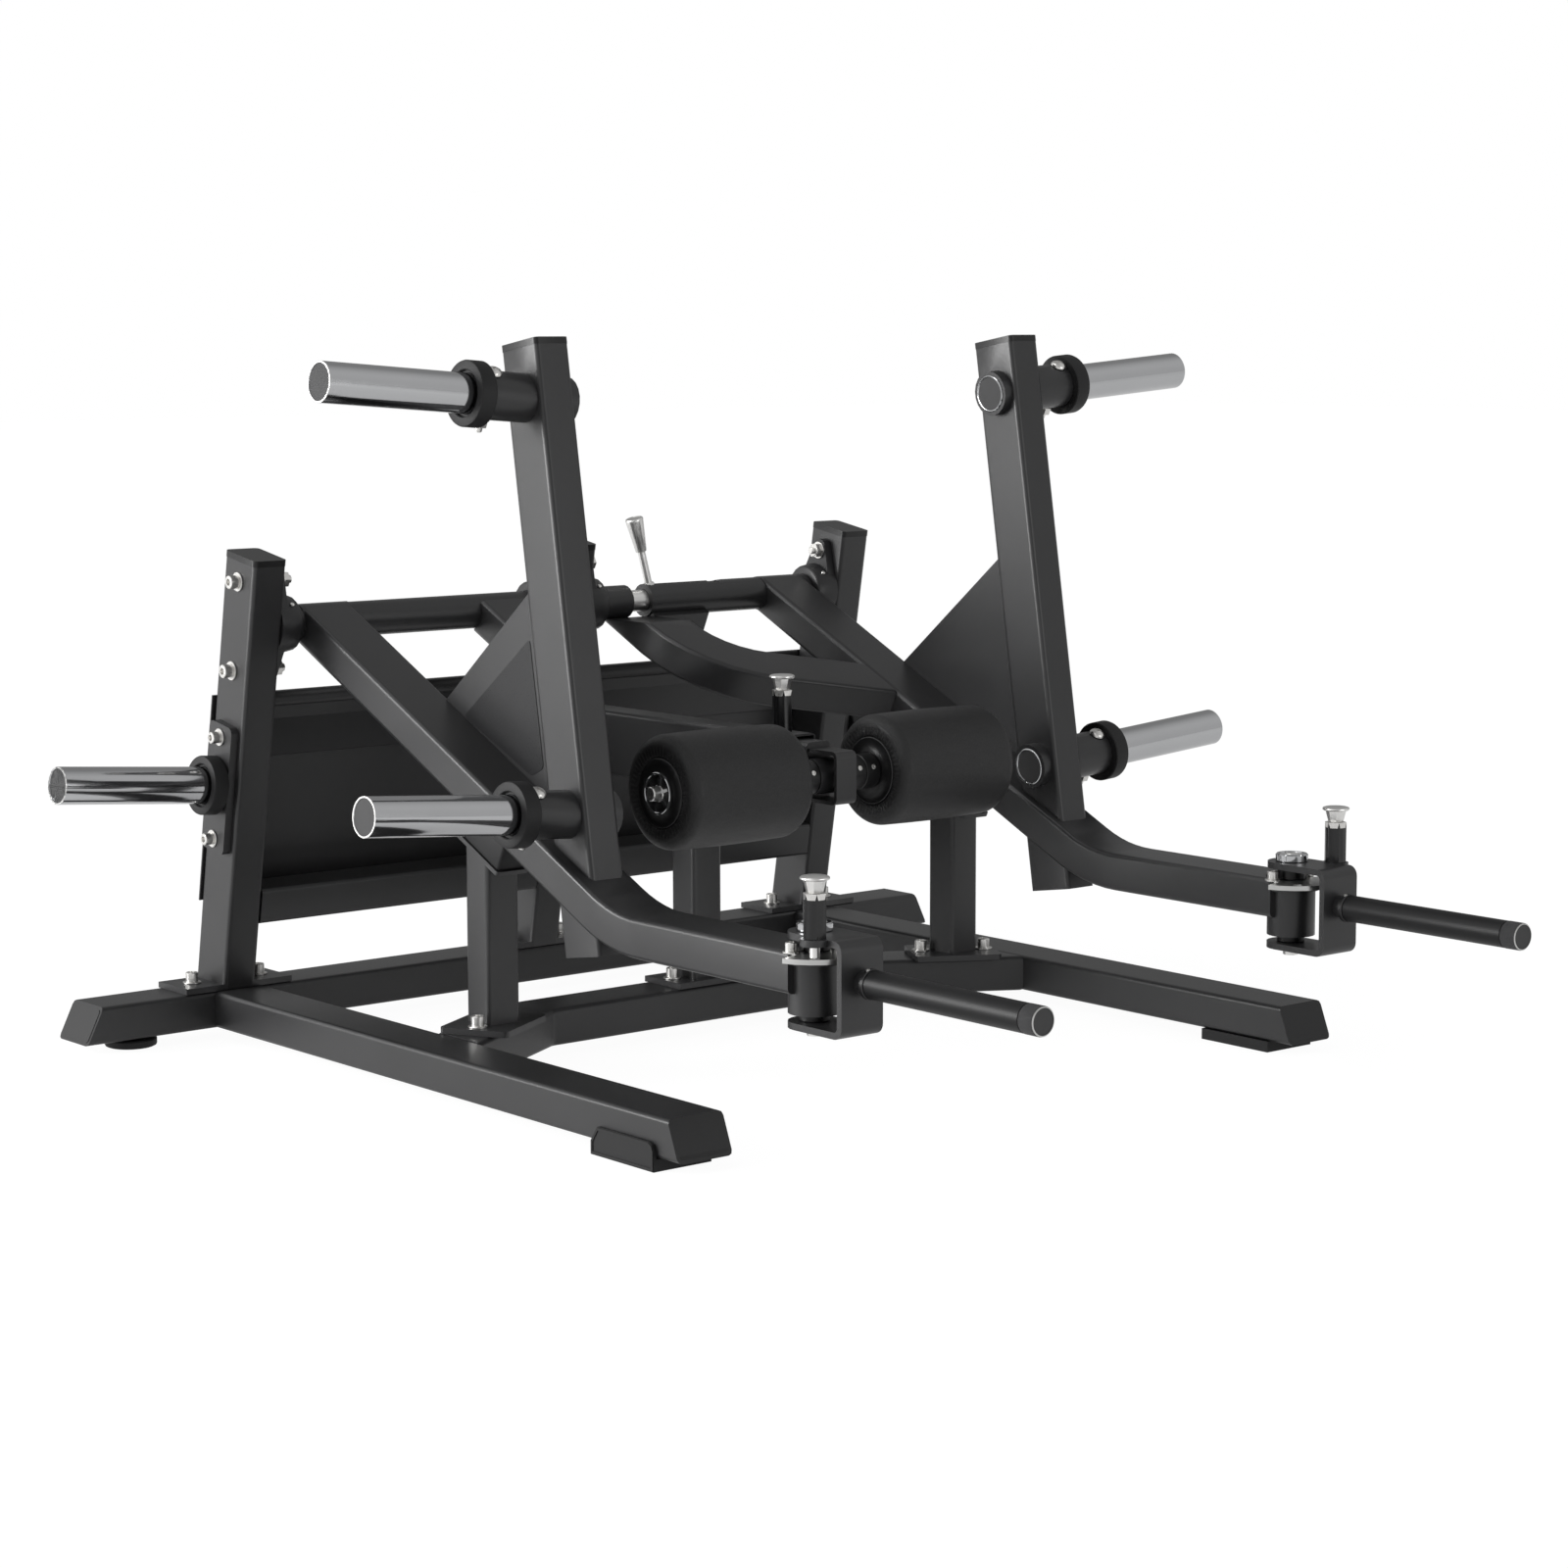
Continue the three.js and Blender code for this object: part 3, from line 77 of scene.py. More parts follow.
# ---------------------------------------------------------------- camera
# Fitted to the photograph: angles in degrees, focal length and centre in its pixels
IMAGE, SENSOR = 1600, 36
CAM = dict(az=-39.6632, pitch=6.7730, roll=-0.1101, f=3547.41, cx=799.667, cy=757.114)
CAM_PLACE = P(-2922.67, -4109.12, 957.11)
back = Vector((math.sin(rad(CAM["az"])) * math.cos(rad(CAM["pitch"])),
               -math.cos(rad(CAM["az"])) * math.cos(rad(CAM["pitch"])),
               math.sin(rad(CAM["pitch"]))))
right = Vector((math.cos(rad(CAM["az"])), math.sin(rad(CAM["az"])), 0))
up = back.cross(right)
roll = rad(CAM["roll"])
right, up = (right * math.cos(roll) + up * math.sin(roll),
             up * math.cos(roll) - right * math.sin(roll))
camera_data = bpy.data.cameras.new("camera")
camera = bpy.data.objects.new("camera", camera_data)
scene.collection.objects.link(camera)
camera.matrix_world = Matrix.Translation(CAM_PLACE) @ Matrix(
    (right, up, back)).transposed().to_4x4()
camera_data.sensor_width = SENSOR
camera_data.lens = CAM["f"] / IMAGE * SENSOR
camera_data.shift_x = (IMAGE / 2 - CAM["cx"]) / IMAGE
camera_data.shift_y = (CAM["cy"] - IMAGE / 2) / IMAGE
camera_data.clip_end = 100
scene.camera = camera


# ---------------------------------------------------------------- materials
def material(name, color, rough, metal, grain, bump=0.0, depth=0.0003, tint=0.25,
             rough_var=0.08, coat=0.0, stretch=None, kind="noise", spec=0.5):
    """Broad uneven tint, fine grain in the gloss and, with bump, in the surface."""
    m = bpy.data.materials.new(name)
    m.use_nodes = True
    nt = m.node_tree
    bsdf = nt.nodes["Principled BSDF"]
    bsdf.inputs["Metallic"].default_value = metal
    bsdf.inputs["Coat Weight"].default_value = coat
    bsdf.inputs["Specular IOR Level"].default_value = spec
    bsdf.inputs["Coat Roughness"].default_value = 0.15
    coord = nt.nodes.new("ShaderNodeTexCoord")
    space = nt.nodes.new("ShaderNodeMapping")
    nt.links.new(coord.outputs["Object"], space.inputs["Vector"])
    if stretch:
        space.inputs["Scale"].default_value = stretch
    broad = nt.nodes.new("ShaderNodeTexNoise")
    broad.inputs["Scale"].default_value = 9
    broad.inputs["Detail"].default_value = 5
    nt.links.new(coord.outputs["Object"], broad.inputs["Vector"])
    ramp = nt.nodes.new("ShaderNodeMix")
    ramp.data_type = "RGBA"
    ramp.inputs["A"].default_value = (*[c * (1 - tint) for c in color], 1)
    ramp.inputs["B"].default_value = (*[min(1, c * (1 + tint)) for c in color], 1)
    nt.links.new(broad.outputs["Fac"], ramp.inputs["Factor"])
    nt.links.new(ramp.outputs["Result"], bsdf.inputs["Base Color"])
    fine = nt.nodes.new("ShaderNodeTexNoise" if kind == "noise" else "ShaderNodeTexVoronoi")
    fine.inputs["Scale"].default_value = grain
    if kind == "noise":
        fine.inputs["Detail"].default_value = 3
        value = fine.outputs["Fac"]
    else:
        fine.feature = "DISTANCE_TO_EDGE"
        value = fine.outputs["Distance"]
    nt.links.new(space.outputs["Vector"], fine.inputs["Vector"])
    rr = nt.nodes.new("ShaderNodeMapRange")
    rr.inputs["To Min"].default_value = max(0.02, rough - rough_var)
    rr.inputs["To Max"].default_value = min(1, rough + rough_var)
    gloss_from = fine if kind == "noise" else broad
    nt.links.new(gloss_from.outputs["Fac"], rr.inputs["Value"])
    nt.links.new(rr.outputs["Result"], bsdf.inputs["Roughness"])
    if bump:
        b = nt.nodes.new("ShaderNodeBump")
        b.inputs["Strength"].default_value = bump
        b.inputs["Distance"].default_value = depth
        if kind != "noise":
            clip = nt.nodes.new("ShaderNodeMapRange")
            clip.inputs["From Max"].default_value = 0.25
            nt.links.new(value, clip.inputs["Value"])
            value = clip.outputs["Result"]
        nt.links.new(value, b.inputs["Height"])
        nt.links.new(b.outputs["Normal"], bsdf.inputs["Normal"])
    return m


M = {
    "powder": material("powder_coat", (0.024, 0.024, 0.025), 0.34, 0.0, 1500, 0.4, 0.00022,
                       spec=0.5),
    "chrome": material("chrome_plate", (0.52, 0.525, 0.535), 0.1, 1.0, 60, 0.0, tint=0.05,
                       rough_var=0.03),
    "steel": material("bright_steel", (0.5, 0.5, 0.51), 0.28, 1.0, 300, 0.16, 0.0001, tint=0.12,
                      stretch=(0.15, 4, 4)),
    "stainless": material("stainless_bolt", (0.74, 0.73, 0.71), 0.3, 1.0, 500, 0.08, 0.00006,
                          tint=0.1),
    "satin": material("satin_chrome", (0.82, 0.815, 0.8), 0.33, 1.0, 260, 0.1, 0.00008,
                      tint=0.06, stretch=(4, 4, 0.2)),
    "zinc": material("zinc_plate", (0.56, 0.56, 0.55), 0.34, 1.0, 160, 0.08, 0.0001, tint=0.15),
    "rubber": material("rubber", (0.0085, 0.0085, 0.009), 0.58, 0.0, 900, 0.3, 0.0002,
                       rough_var=0.1, spec=0.35),
    "grip": material("grip_rubber", (0.0055, 0.0055, 0.006), 0.42, 0.0, 500, 0.08, 0.0001,
                     rough_var=0.06, spec=0.28),
    "grip_end": material("grip_end", (0.04, 0.04, 0.042), 0.6, 0.0, 900, 0.9, 0.0006, tint=0.5,
                         rough_var=0.15, kind="voronoi"),
    "vinyl": material("vinyl_grain", (0.011, 0.011, 0.0115), 0.44, 0.0, 620, 0.6, 0.0004,
                      kind="voronoi", rough_var=0.08, coat=0.05, spec=0.4),
    "plastic": material("black_plastic", (0.009, 0.009, 0.0095), 0.34, 0.0, 700, 0.12, 0.0001,
                        spec=0.4),
    "barrel": material("black_barrel", (0.006, 0.006, 0.0065), 0.2, 0.0, 500, 0.05, 0.0001,
                       rough_var=0.04, spec=0.5),
    "iron": material("painted_iron", (0.02, 0.02, 0.021), 0.38, 0.0, 260, 0.4, 0.0004,
                     spec=0.42),
    "grey_disc": material("grey_disc", (0.07, 0.07, 0.071), 0.75, 0.0, 800, 0.12, 0.0001,
                          spec=0.25),
    "placard": material("placard_sheet", (0.012, 0.012, 0.013), 0.3, 0.0, 600, 0.05, 0.0001,
                        spec=0.4),
}
BY_SLOT = {"powder_coat": "powder", "chrome": "chrome", "bright_steel": "steel",
           "rubber": "rubber", "vinyl": "vinyl", "cast_iron": "iron", "plunger": "plastic"}


# Edges of the tubes' rounded corners turn by less than this, in degrees
TUBE_CORNER = 50


def shade(obj, angle):
    mesh = obj.data
    for p in mesh.polygons:
        p.use_smooth = True
    mesh.set_sharp_from_angle(angle=rad(angle))


def corner_group():
    """Joins the loose triangles and shades the edges of rounded corners smooth."""
    group = bpy.data.node_groups.new("round_corners", "GeometryNodeTree")
    for way in ("INPUT", "OUTPUT"):
        group.interface.new_socket("Geometry", in_out=way, socket_type="NodeSocketGeometry")
    enter, leave = group.nodes.new("NodeGroupInput"), group.nodes.new("NodeGroupOutput")
    merge = group.nodes.new("GeometryNodeMergeByDistance")
    merge.inputs["Distance"].default_value = 1e-5
    angle = group.nodes.new("GeometryNodeInputMeshEdgeAngle")
    less = group.nodes.new("FunctionNodeCompare")
    less.data_type, less.operation = "FLOAT", "LESS_THAN"
    less.inputs[1].default_value = rad(TUBE_CORNER)
    smooth = group.nodes.new("GeometryNodeSetShadeSmooth")
    smooth.domain = "EDGE"
    link = group.links.new
    link(enter.outputs[0], merge.inputs["Geometry"])
    link(merge.outputs["Geometry"], smooth.inputs["Geometry"])
    link(angle.outputs["Unsigned Angle"], less.inputs[0])
    link(less.outputs[0], smooth.inputs["Shade Smooth"])
    link(smooth.outputs["Geometry"], leave.inputs[0])
    return group


corners_smooth = corner_group()
for part in frame["record"]["subparts"]:
    node = nodes[part["node"]]
    node.data.materials.clear()
    node.data.materials.append(M[BY_SLOT[part["material_slot"]]])
    shade(node, TUBE_CORNER)
    if part["node"] == "rear_panel":
        continue
    # Rounded tube corners: smooth across the narrow corner faces, flat on the wide ones
    node.modifiers.new("corners", "NODES").node_group = corners_smooth
    even = node.modifiers.new("weighted", "WEIGHTED_NORMAL")
    even.keep_sharp = True
    even.weight = 90


def paint(name, key, test):
    """Gives the faces of a node that pass the test another finish."""
    mesh = nodes[name].data
    mesh.materials.append(M[key])
    index = len(mesh.materials) - 1
    for p in mesh.polygons:
        if test(p.center, p.normal):
            p.material_index = index


# ---------------------------------------------------------------- mesh helpers
def finish_mesh(name, bm, key, body, smooth=35, replaces=()):
    bmesh.ops.recalc_face_normals(bm, faces=bm.faces)
    mesh = bpy.data.meshes.new(name)
    bm.to_mesh(mesh)
    bm.free()
    keys = [key] if isinstance(key, str) else key
    for k in keys:
        mesh.materials.append(M[k])
    obj = bpy.data.objects.new(name, mesh)
    scene.collection.objects.link(obj)
    shade(obj, smooth)
    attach(obj, body)
    if replaces:
        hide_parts(*replaces)
    return obj


def basis(axis):
    axis = axis.normalized()
    helper = Y if abs(axis.dot(Z)) > 0.9 else Z
    u = helper.cross(axis).normalized()
    return u, axis.cross(u), axis


def add_lathe(bm, profile, origin, axis, segments=64, mats=None):
    """Revolves (distance, radius[, material]) points in millimetres about an axis."""
    u, v, w = basis(axis)
    rings = []
    for s, r in [(p[0], p[1]) for p in profile]:
        base = origin + w * s / 1000
        if r <= 1e-6:
            rings.append([bm.verts.new(base)])
        else:
            rings.append([bm.verts.new(base + (u * math.cos(t) + v * math.sin(t)) * r / 1000)
                          for t in (2 * math.pi * i / segments for i in range(segments))])
    closed = profile[0][1] > 1e-6
    pairs = list(zip(rings, rings[1:])) + ([(rings[-1], rings[0])] if closed else [])
    for k, (a, b) in enumerate(pairs):
        for i in range(segments):
            j = (i + 1) % segments
            if len(a) == 1 and len(b) == 1:
                continue
            if len(a) == 1:
                f = bm.faces.new((a[0], b[i], b[j]))
            elif len(b) == 1:
                f = bm.faces.new((a[i], a[j], b[0]))
            else:
                f = bm.faces.new((a[i], a[j], b[j], b[i]))
            if mats:
                f.material_index = mats[min(k, len(mats) - 1)]
    return bm


def lathe(name, profile, origin, axis, key, body, segments=64, mats=None, replaces=(),
          smooth=35):
    bm = add_lathe(bmesh.new(), profile, origin, axis, segments, mats)
    return finish_mesh(name, bm, key, body, smooth, replaces)


def add_prism(bm, outline, origin, a, b, h0, h1):
    """Extrudes an outline (mm) given on axes a and b along their cross product."""
    n = a.cross(b)
    loops = []
    for h in (h0, h1):
        loops.append([bm.verts.new(origin + (a * p[0] + b * p[1] + n * h) / 1000) for p in outline])
    count = len(outline)
    for i in range(count):
        j = (i + 1) % count
        bm.faces.new((loops[0][i], loops[0][j], loops[1][j], loops[1][i]))
    bm.faces.new(loops[1])
    bm.faces.new(list(reversed(loops[0])))
    return bm


def ring(radius, sides, turn=0.0):
    return [(radius * math.cos(2 * math.pi * i / sides + turn),
             radius * math.sin(2 * math.pi * i / sides + turn)) for i in range(sides)]


def rounded(w, h, r, steps=4):
    pts = []
    for q, (sx, sy) in enumerate([(1, 1), (-1, 1), (-1, -1), (1, -1)]):
        for i in range(steps + 1):
            t = (q + i / steps) * math.pi / 2
            pts.append((sx * (w / 2 - r) + r * math.cos(t), sy * (h / 2 - r) + r * math.sin(t)))
    return pts


def add_band(bm, outer, inner, origin, a, b, h0, h1):
    """Flat band between two outlines with the same number of points."""
    n = a.cross(b)
    loops = [[bm.verts.new(origin + (a * p[0] + b * p[1] + n * h) / 1000) for p in pts]
             for pts, h in ((outer, h0), (outer, h1), (inner, h1), (inner, h0))]
    count = len(outer)
    for k in range(4):
        la, lb = loops[k], loops[(k + 1) % 4]
        for i in range(count):
            j = (i + 1) % count
            bm.faces.new((la[i], la[j], lb[j], lb[i]))


def softened(bm, offset, segments=2):
    edges = [e for e in bm.edges if len(e.link_faces) == 2 and e.calc_face_angle(0) > rad(40)]
    bmesh.ops.bevel(bm, geom=edges, offset=offset / 1000, segments=segments, affect="EDGES",
                    profile=0.5, clamp_overlap=True)


def sleeve(name, centre, a, b, section, low, high, body):
    """Thin rim of an end cap round the end of a tube."""
    w, h, r = section
    bm = bmesh.new()
    add_band(bm, rounded(w, h, r), rounded(w - 1.0, h - 1.0, r - 0.5), centre, a, b, low, high)
    return finish_mesh(name, bm, "plastic", body, 30)


def socket_bolt(name, origin, axis, body, head=8.0, height=10.0, washer=11.0):
    """Socket cap screw with a washer; origin lies on the face it is tightened against."""
    bm = bmesh.new()
    add_lathe(bm, [(0.0, 0), (0.0, washer), (0.5, washer + 0.4), (1.8, washer + 0.4),
                   (2.2, washer), (2.2, 0)], origin, axis, 32)
    add_lathe(bm, [(2.2, 0), (2.2, head - 0.3), (2.6, head), (height + 1.2, head),
                   (height + 2.0, head - 0.8), (height + 2.2, head * 0.62),
                   (height + 2.2, head * 0.5), (height - 2.5, head * 0.46), (height - 2.5, 0)],
              origin, axis, 32)
    return finish_mesh(name, bm, "stainless", body, 30)


def hex_bolt(name, origin, axis, body, across=17.0, height=10.0, washer=13.0, key="stainless",
             stud=0.0):
    bm = bmesh.new()
    add_lathe(bm, [(0.0, 0), (0.0, washer), (0.4, washer + 0.4), (1.8, washer + 0.4),
                   (2.2, washer), (2.2, 0)], origin, axis, 32)
    u, v, w = basis(axis)
    add_prism(bm, ring(across / 2 / math.cos(math.pi / 6), 6), origin, u, v, 2.3, height)
    add_lathe(bm, [(height, 0), (height, across / 2 - 0.4), (height + 0.7, across / 2 - 1.6),
                   (height + 0.7, 0)], origin, axis, 32)
    if stud:
        add_lathe(bm, [(height + 0.7, 0), (height + 0.7, across * 0.29),
                       (height + stud - 0.8, across * 0.29), (height + stud, across * 0.23),
                       (height + stud, 0)], origin, axis, 24)
    return finish_mesh(name, bm, key, body, 30)


def dome_bolt(name, origin, axis, body, radius=11.0, height=6.5):
    bm = bmesh.new()
    prof = [(0.0, 0), (0.0, radius)]
    for i in range(1, 8):
        t = math.pi / 2 * i / 8
        prof.append((0.8 + height * math.sin(t), radius * math.cos(t)))
    prof += [(height + 0.8, radius * 0.3), (height - 1.6, radius * 0.27), (height - 1.6, 0)]
    add_lathe(bm, prof, origin, axis, 32)
    return finish_mesh(name, bm, "stainless", body, 30)


def upright_y(z):
    return PIVOT_Y - (z - PIVOT_Z) * math.tan(rad(LEAN))


def upright_at(x, z):
    return P(x, upright_y(z), z)


# ---------------------------------------------------------------- plate horns and collars
# Along the horns: distances from the middle plane, before the tilt
HORN_ROOT, HORN_TIP, HORN_SEAT, HORN_COLLAR = 359.0, 719.0, 478.0, 490.0
HORN_LEVELS = (("upper", 871.5), ("lower", 363.0))
HORN_RADIUS, SLEEVE_FACE = 25.0, 30.2
STORE_TIP, STORE_Z, STORE_PLATE = 785.5, 348.7, 11.0


def blade_y(z):
    return -677.2 + (z - 365.0) * math.tan(rad(BLADE_LEAN))


def horn_profile(length):
    r = HORN_RADIUS
    return [(1.5, 0), (1.5, r - 2.6), (0.3, r - 2.0), (0.0, r - 1.4), (0.0, r - 0.9), (0.8, r),
            (length - 0.6, r), (length, r - 0.5), (length, r - 2.0), (length - 0.3, r - 2.3),
            (length - 1.5, r - 2.6), (length - 1.5, 0)]


HORN_MATS = [1, 0, 0, 0, 0, 0, 2, 2, 2, 0, 1]


def collar_profile(width, radius, inner=25.5, start=0.0):
    return [(start, inner), (start, radius - 1.2), (start + 1.2, radius), (width - 2.4, radius),
            (width - 0.7, radius - 0.7), (width, radius - 2.4), (width, 30.0), (width - 0.8, 29.0),
            (width - 5.0, 28.6), (width - 5.0, inner)]


for side, s in SIDES:
    body = f"{side}_arm"
    axis = Vector((s * math.cos(rad(HORN_TILT)), 0, math.sin(rad(HORN_TILT))))
    for level, z in HORN_LEVELS:
        root = P(s * BLADE_X, blade_y(z), z)

        def at(x, root=root, axis=axis):
            return root + axis * (x - BLADE_X) / math.cos(rad(HORN_TILT)) / 1000
        length = (HORN_TIP - HORN_ROOT) / math.cos(rad(HORN_TILT))
        node = f"{side}_{level}_horn"
        lathe(f"{node}_bar", horn_profile(length), at(HORN_ROOT), axis,
              ["chrome", "grey_disc", "satin"], body, 72, HORN_MATS, (node,))
        node = f"{side}_{level}_horn_collar"
        lathe(f"{node}_ring", collar_profile(23.0, 41.0), at(HORN_COLLAR) + axis * GAP / 1000, axis,
              "rubber", body, 72, None, (node,))
        seat = at(HORN_SEAT)
        dome_bolt(f"{side}_{level}_horn_bolt", seat + over * SLEEVE_FACE / 1000, over, body)
        hex_bolt(f"{side}_{level}_horn_nut", seat - over * SLEEVE_FACE / 1000, -over, body, 16.0,
                 11.0, 10.0, stud=8.0)
    # storage horn
    axis = Vector((s * math.cos(rad(STORE_TILT)), 0, math.sin(rad(STORE_TILT))))
    face_x = UPRIGHT_X + HORN_RADIUS + GAP
    root = upright_at(s * (face_x + STORE_PLATE), STORE_Z)

    def store(x, root=root, axis=axis):
        return root + axis * (x - face_x - STORE_PLATE) / math.cos(rad(STORE_TILT)) / 1000
    paint(f"{side}_storage_horn", "powder",
          lambda c, n, s=s: abs(c.x) < (face_x + 11.3) / 1000)
    start = face_x + STORE_PLATE
    bar = horn_profile((STORE_TIP - start) / math.cos(rad(STORE_TILT)))
    bar = [(6.0, 0), (6.0, 25.02)] + [(a, b + 0.02) for a, b in bar[6:]]
    lathe(f"{side}_storage_bar", bar, store(start), axis, ["chrome", "grey_disc", "satin"],
          "frame", 72, [0, 0, 2, 2, 2, 0, 1])
    node = f"{side}_storage_collar"
    lathe(f"{node}_ring", collar_profile(25.0, 40.0, start=3.2), store(start) + axis * GAP / 1000,
          axis, "rubber", "frame", 72, None, (node,))
    for z in (415.0, 275.0):
        socket_bolt(f"{side}_storage_bolt_{int(z)}", upright_at(s * (face_x + STORE_PLATE), z),
                    X * s, "frame", 8.0, 12.5, 11.5)

# ---------------------------------------------------------------- bearing bolts
BEARING_BOLT_REACH = 61.0

for side, s in SIDES:
    for k, end in (("upper", 1), ("lower", -1)):
        offset = lean_axis * (end * BEARING_BOLT_REACH) / 1000
        socket_bolt(f"{side}_bearing_bolt_{k}", P(s * 537.0, PIVOT_Y, PIVOT_Z) + offset, X * s,
                    "frame", 9.0, 13.0, 12.5)
        hex_bolt(f"{side}_bearing_nut_{k}", P(s * (486.7 - 13.0), PIVOT_Y, PIVOT_Z) + offset,
                 X * -s, "frame", 19.0, 11.0, 12.5, stud=6.0)
        make = socket_bolt if s < 0 else hex_bolt
        make(f"middle_bearing_{side}_{k}", P(s * 38.3, PIVOT_Y, PIVOT_Z) + offset, X * s, "frame")

# ---------------------------------------------------------------- base plate bolts
BASE_BOLT = dict(head=8.5, height=13.0, washer=12.0)
PLATE_BOTTOM = 65.3
POST_Y, STOP_X, STOP_Y, STOP_TURN = -396.0, 400.0, -479.0, rad(30)

for name, x in STATIONS:
    for k, dx in enumerate((-52.0, 52.0)):
        socket_bolt(f"{name}_upright_bolt_{k}", P(x + dx, upright_y(PLATE_BOTTOM), PLATE_TOP), Z,
                    "frame", **BASE_BOLT)
for k, dx in enumerate((-43.0, 43.0)):
    socket_bolt(f"centre_post_bolt_{k}", P(dx, POST_Y, PLATE_TOP), Z, "frame", **BASE_BOLT)
for side, s in SIDES:
    for k, d in enumerate((-46.0, 46.0)):
        place = P(s * (STOP_X + d * math.cos(STOP_TURN)), STOP_Y - d * math.sin(STOP_TURN),
                  PLATE_TOP)
        socket_bolt(f"{side}_stop_bolt_{k}", place, Z, "frame", **BASE_BOLT)

# ---------------------------------------------------------------- rollers
ROLLER_INNER, ROLLER_OUTER, ROLLER_RADIUS, ROLLER_SHOULDER = 75.7, 275.5, 75.0, 16.0
AXLE_END = 275.8
PLEATS, PLEAT_DEPTH = 54, 1.6


def roller_profile():
    radius, shoulder = ROLLER_RADIUS, ROLLER_SHOULDER
    length = ROLLER_OUTER - ROLLER_INNER
    half = []
    for i in range(13):
        t = math.pi / 2 * i / 12
        half.append((shoulder * (1 - math.cos(t)), radius - 1.2 - shoulder * (1 - math.sin(t))))
    for i in range(1, 5):
        half.append((shoulder + (length / 2 - shoulder) * i / 4,
                     radius - 1.2 + 1.2 * math.sin(math.pi / 2 * i / 4)))
    prof = [(3.0, 13.2), (3.0, 27.0), (3.0, 45.0), (1.4, 46.4), (0.0, 48.0), (0.0, 53.0)] + half
    back_half = [(length - a, b) for a, b in reversed(half[:-1])]
    prof += back_half + [(length, 53.0), (length, 48.0), (length - 1.4, 46.4),
                         (length - 3.0, 45.0), (length - 3.0, 27.0), (length - 3.0, 13.2)]
    return prof


def pleated(bm, origin, axis, count, depth):
    """Gathers the cover into short pleats round the end discs."""
    u, v, w = basis(axis)
    for vert in bm.verts:
        d = vert.co - origin
        along = d.dot(w) * 1000
        a, b = d.dot(u) * 1000, d.dot(v) * 1000
        r = math.hypot(a, b)
        amount = max(0.0, 1.0 - abs(r - 51.0) / 9.0) * depth
        if amount and (along < 8 or along > 191.8):
            side_in = 1 if along < 100 else -1
            wave = 0.5 - 0.5 * math.cos(count * math.atan2(b, a))
            vert.co += w * (side_in * amount * wave / 1000)


for side, s in SIDES:
    inner = P(s * ROLLER_INNER, AXLE_Y, AXLE_Z)
    bm = add_lathe(bmesh.new(), roller_profile(), inner, X * s, 4 * PLEATS)
    pleated(bm, inner, X * s, PLEATS, PLEAT_DEPTH)
    roller = finish_mesh(f"{side}_roller_cover", bm, "vinyl", f"{side}_roller", 60,
                         (f"{side}_roller_pad",))
    for where, at_x, sign in (("inner", ROLLER_INNER, -1), ("outer", ROLLER_OUTER, 1)):
        base = P(s * (at_x - sign * 2.9), AXLE_Y, AXLE_Z)
        out = X * (s * sign)
        lathe(f"{side}_roller_disc_{where}",
              [(0, 13.4), (0, 44.4), (1.6, 44.4), (2.1, 43.6), (1.5, 42.6), (1.5, 29.0),
               (2.0, 28.2), (2.0, 13.4)], base, out, ["plastic", "grey_disc"],
              f"{side}_roller", 96, [0, 1, 1, 0, 0, 0, 0, 0])
    # locking collars on the axle, split in two with a set screw in each
    for k, (a, b) in enumerate(((28.4, 51.2), (52.0, 75.2))):
        w = b - a
        lathe(f"{side}_axle_collar_{k}",
              [(0, 12.4), (0, 22.4), (1.2, 23.6), (w - 1.2, 23.6), (w, 22.4), (w, 12.4)],
              P(s * a, AXLE_Y, AXLE_Z), X * s, "plastic", "carriage", 64)
        screw = Vector((0, -math.cos(rad(20)), math.sin(rad(20))))
        lathe(f"{side}_axle_screw_{k}",
              [(0, 0), (0, 3.4), (1.0, 3.4), (1.3, 3.0), (1.3, 1.6), (0.5, 1.5), (0.5, 0)],
              P(s * (a + w / 2), AXLE_Y, AXLE_Z) + screw * 23.4 / 1000, screw, "stainless",
              "carriage", 20)

# axle with a spoked keeper at each end
bm = bmesh.new()
add_lathe(bm, [(-AXLE_END, 0), (-AXLE_END, 12.4), (AXLE_END, 12.4), (AXLE_END, 0)],
          P(0, AXLE_Y, AXLE_Z), X, 64)
for side, s in SIDES:
    end = P(s * AXLE_END, AXLE_Y, AXLE_Z)
    out = X * s
    # Keeper ring: the recess wall and the floor between the spokes are black plastic, painted shade
    # standing in for the dark holes of the hub
    add_lathe(bm, [(0.0, 0), (0.0, 26.2), (0.8, 27.0), (3.4, 27.0), (4.2, 26.2), (4.2, 24.6),
                   (3.4, 23.8), (1.2, 23.6), (1.2, 0)], end, out, 72,
              [1, 0, 0, 0, 0, 0, 0, 1, 1])
    # Boss: the wall and bottom of its centre hole are black plastic, painted shade for the hole's
    # depth
    add_lathe(bm, [(1.2, 0), (1.2, 11.0), (2.2, 9.8), (13.0, 9.2), (14.2, 8.2), (14.2, 3.6),
                   (10.0, 3.4), (10.0, 0)], end, out, 48, [2, 2, 2, 2, 2, 2, 1, 1])
    u, v, w = basis(out)
    for i in range(6):
        t = 2 * math.pi * i / 6 + 0.3
        d, e = u * math.cos(t) + v * math.sin(t), v * math.cos(t) - u * math.sin(t)
        add_prism(bm, [(7.5, -2.4), (24.4, -1.7), (24.4, 1.7), (7.5, 2.4)], end, d, e, 1.0, 3.0)
finish_mesh("axle_shaft", bm, ["chrome", "plastic", "satin"], "carriage", 35,
            ("roller_axle",))

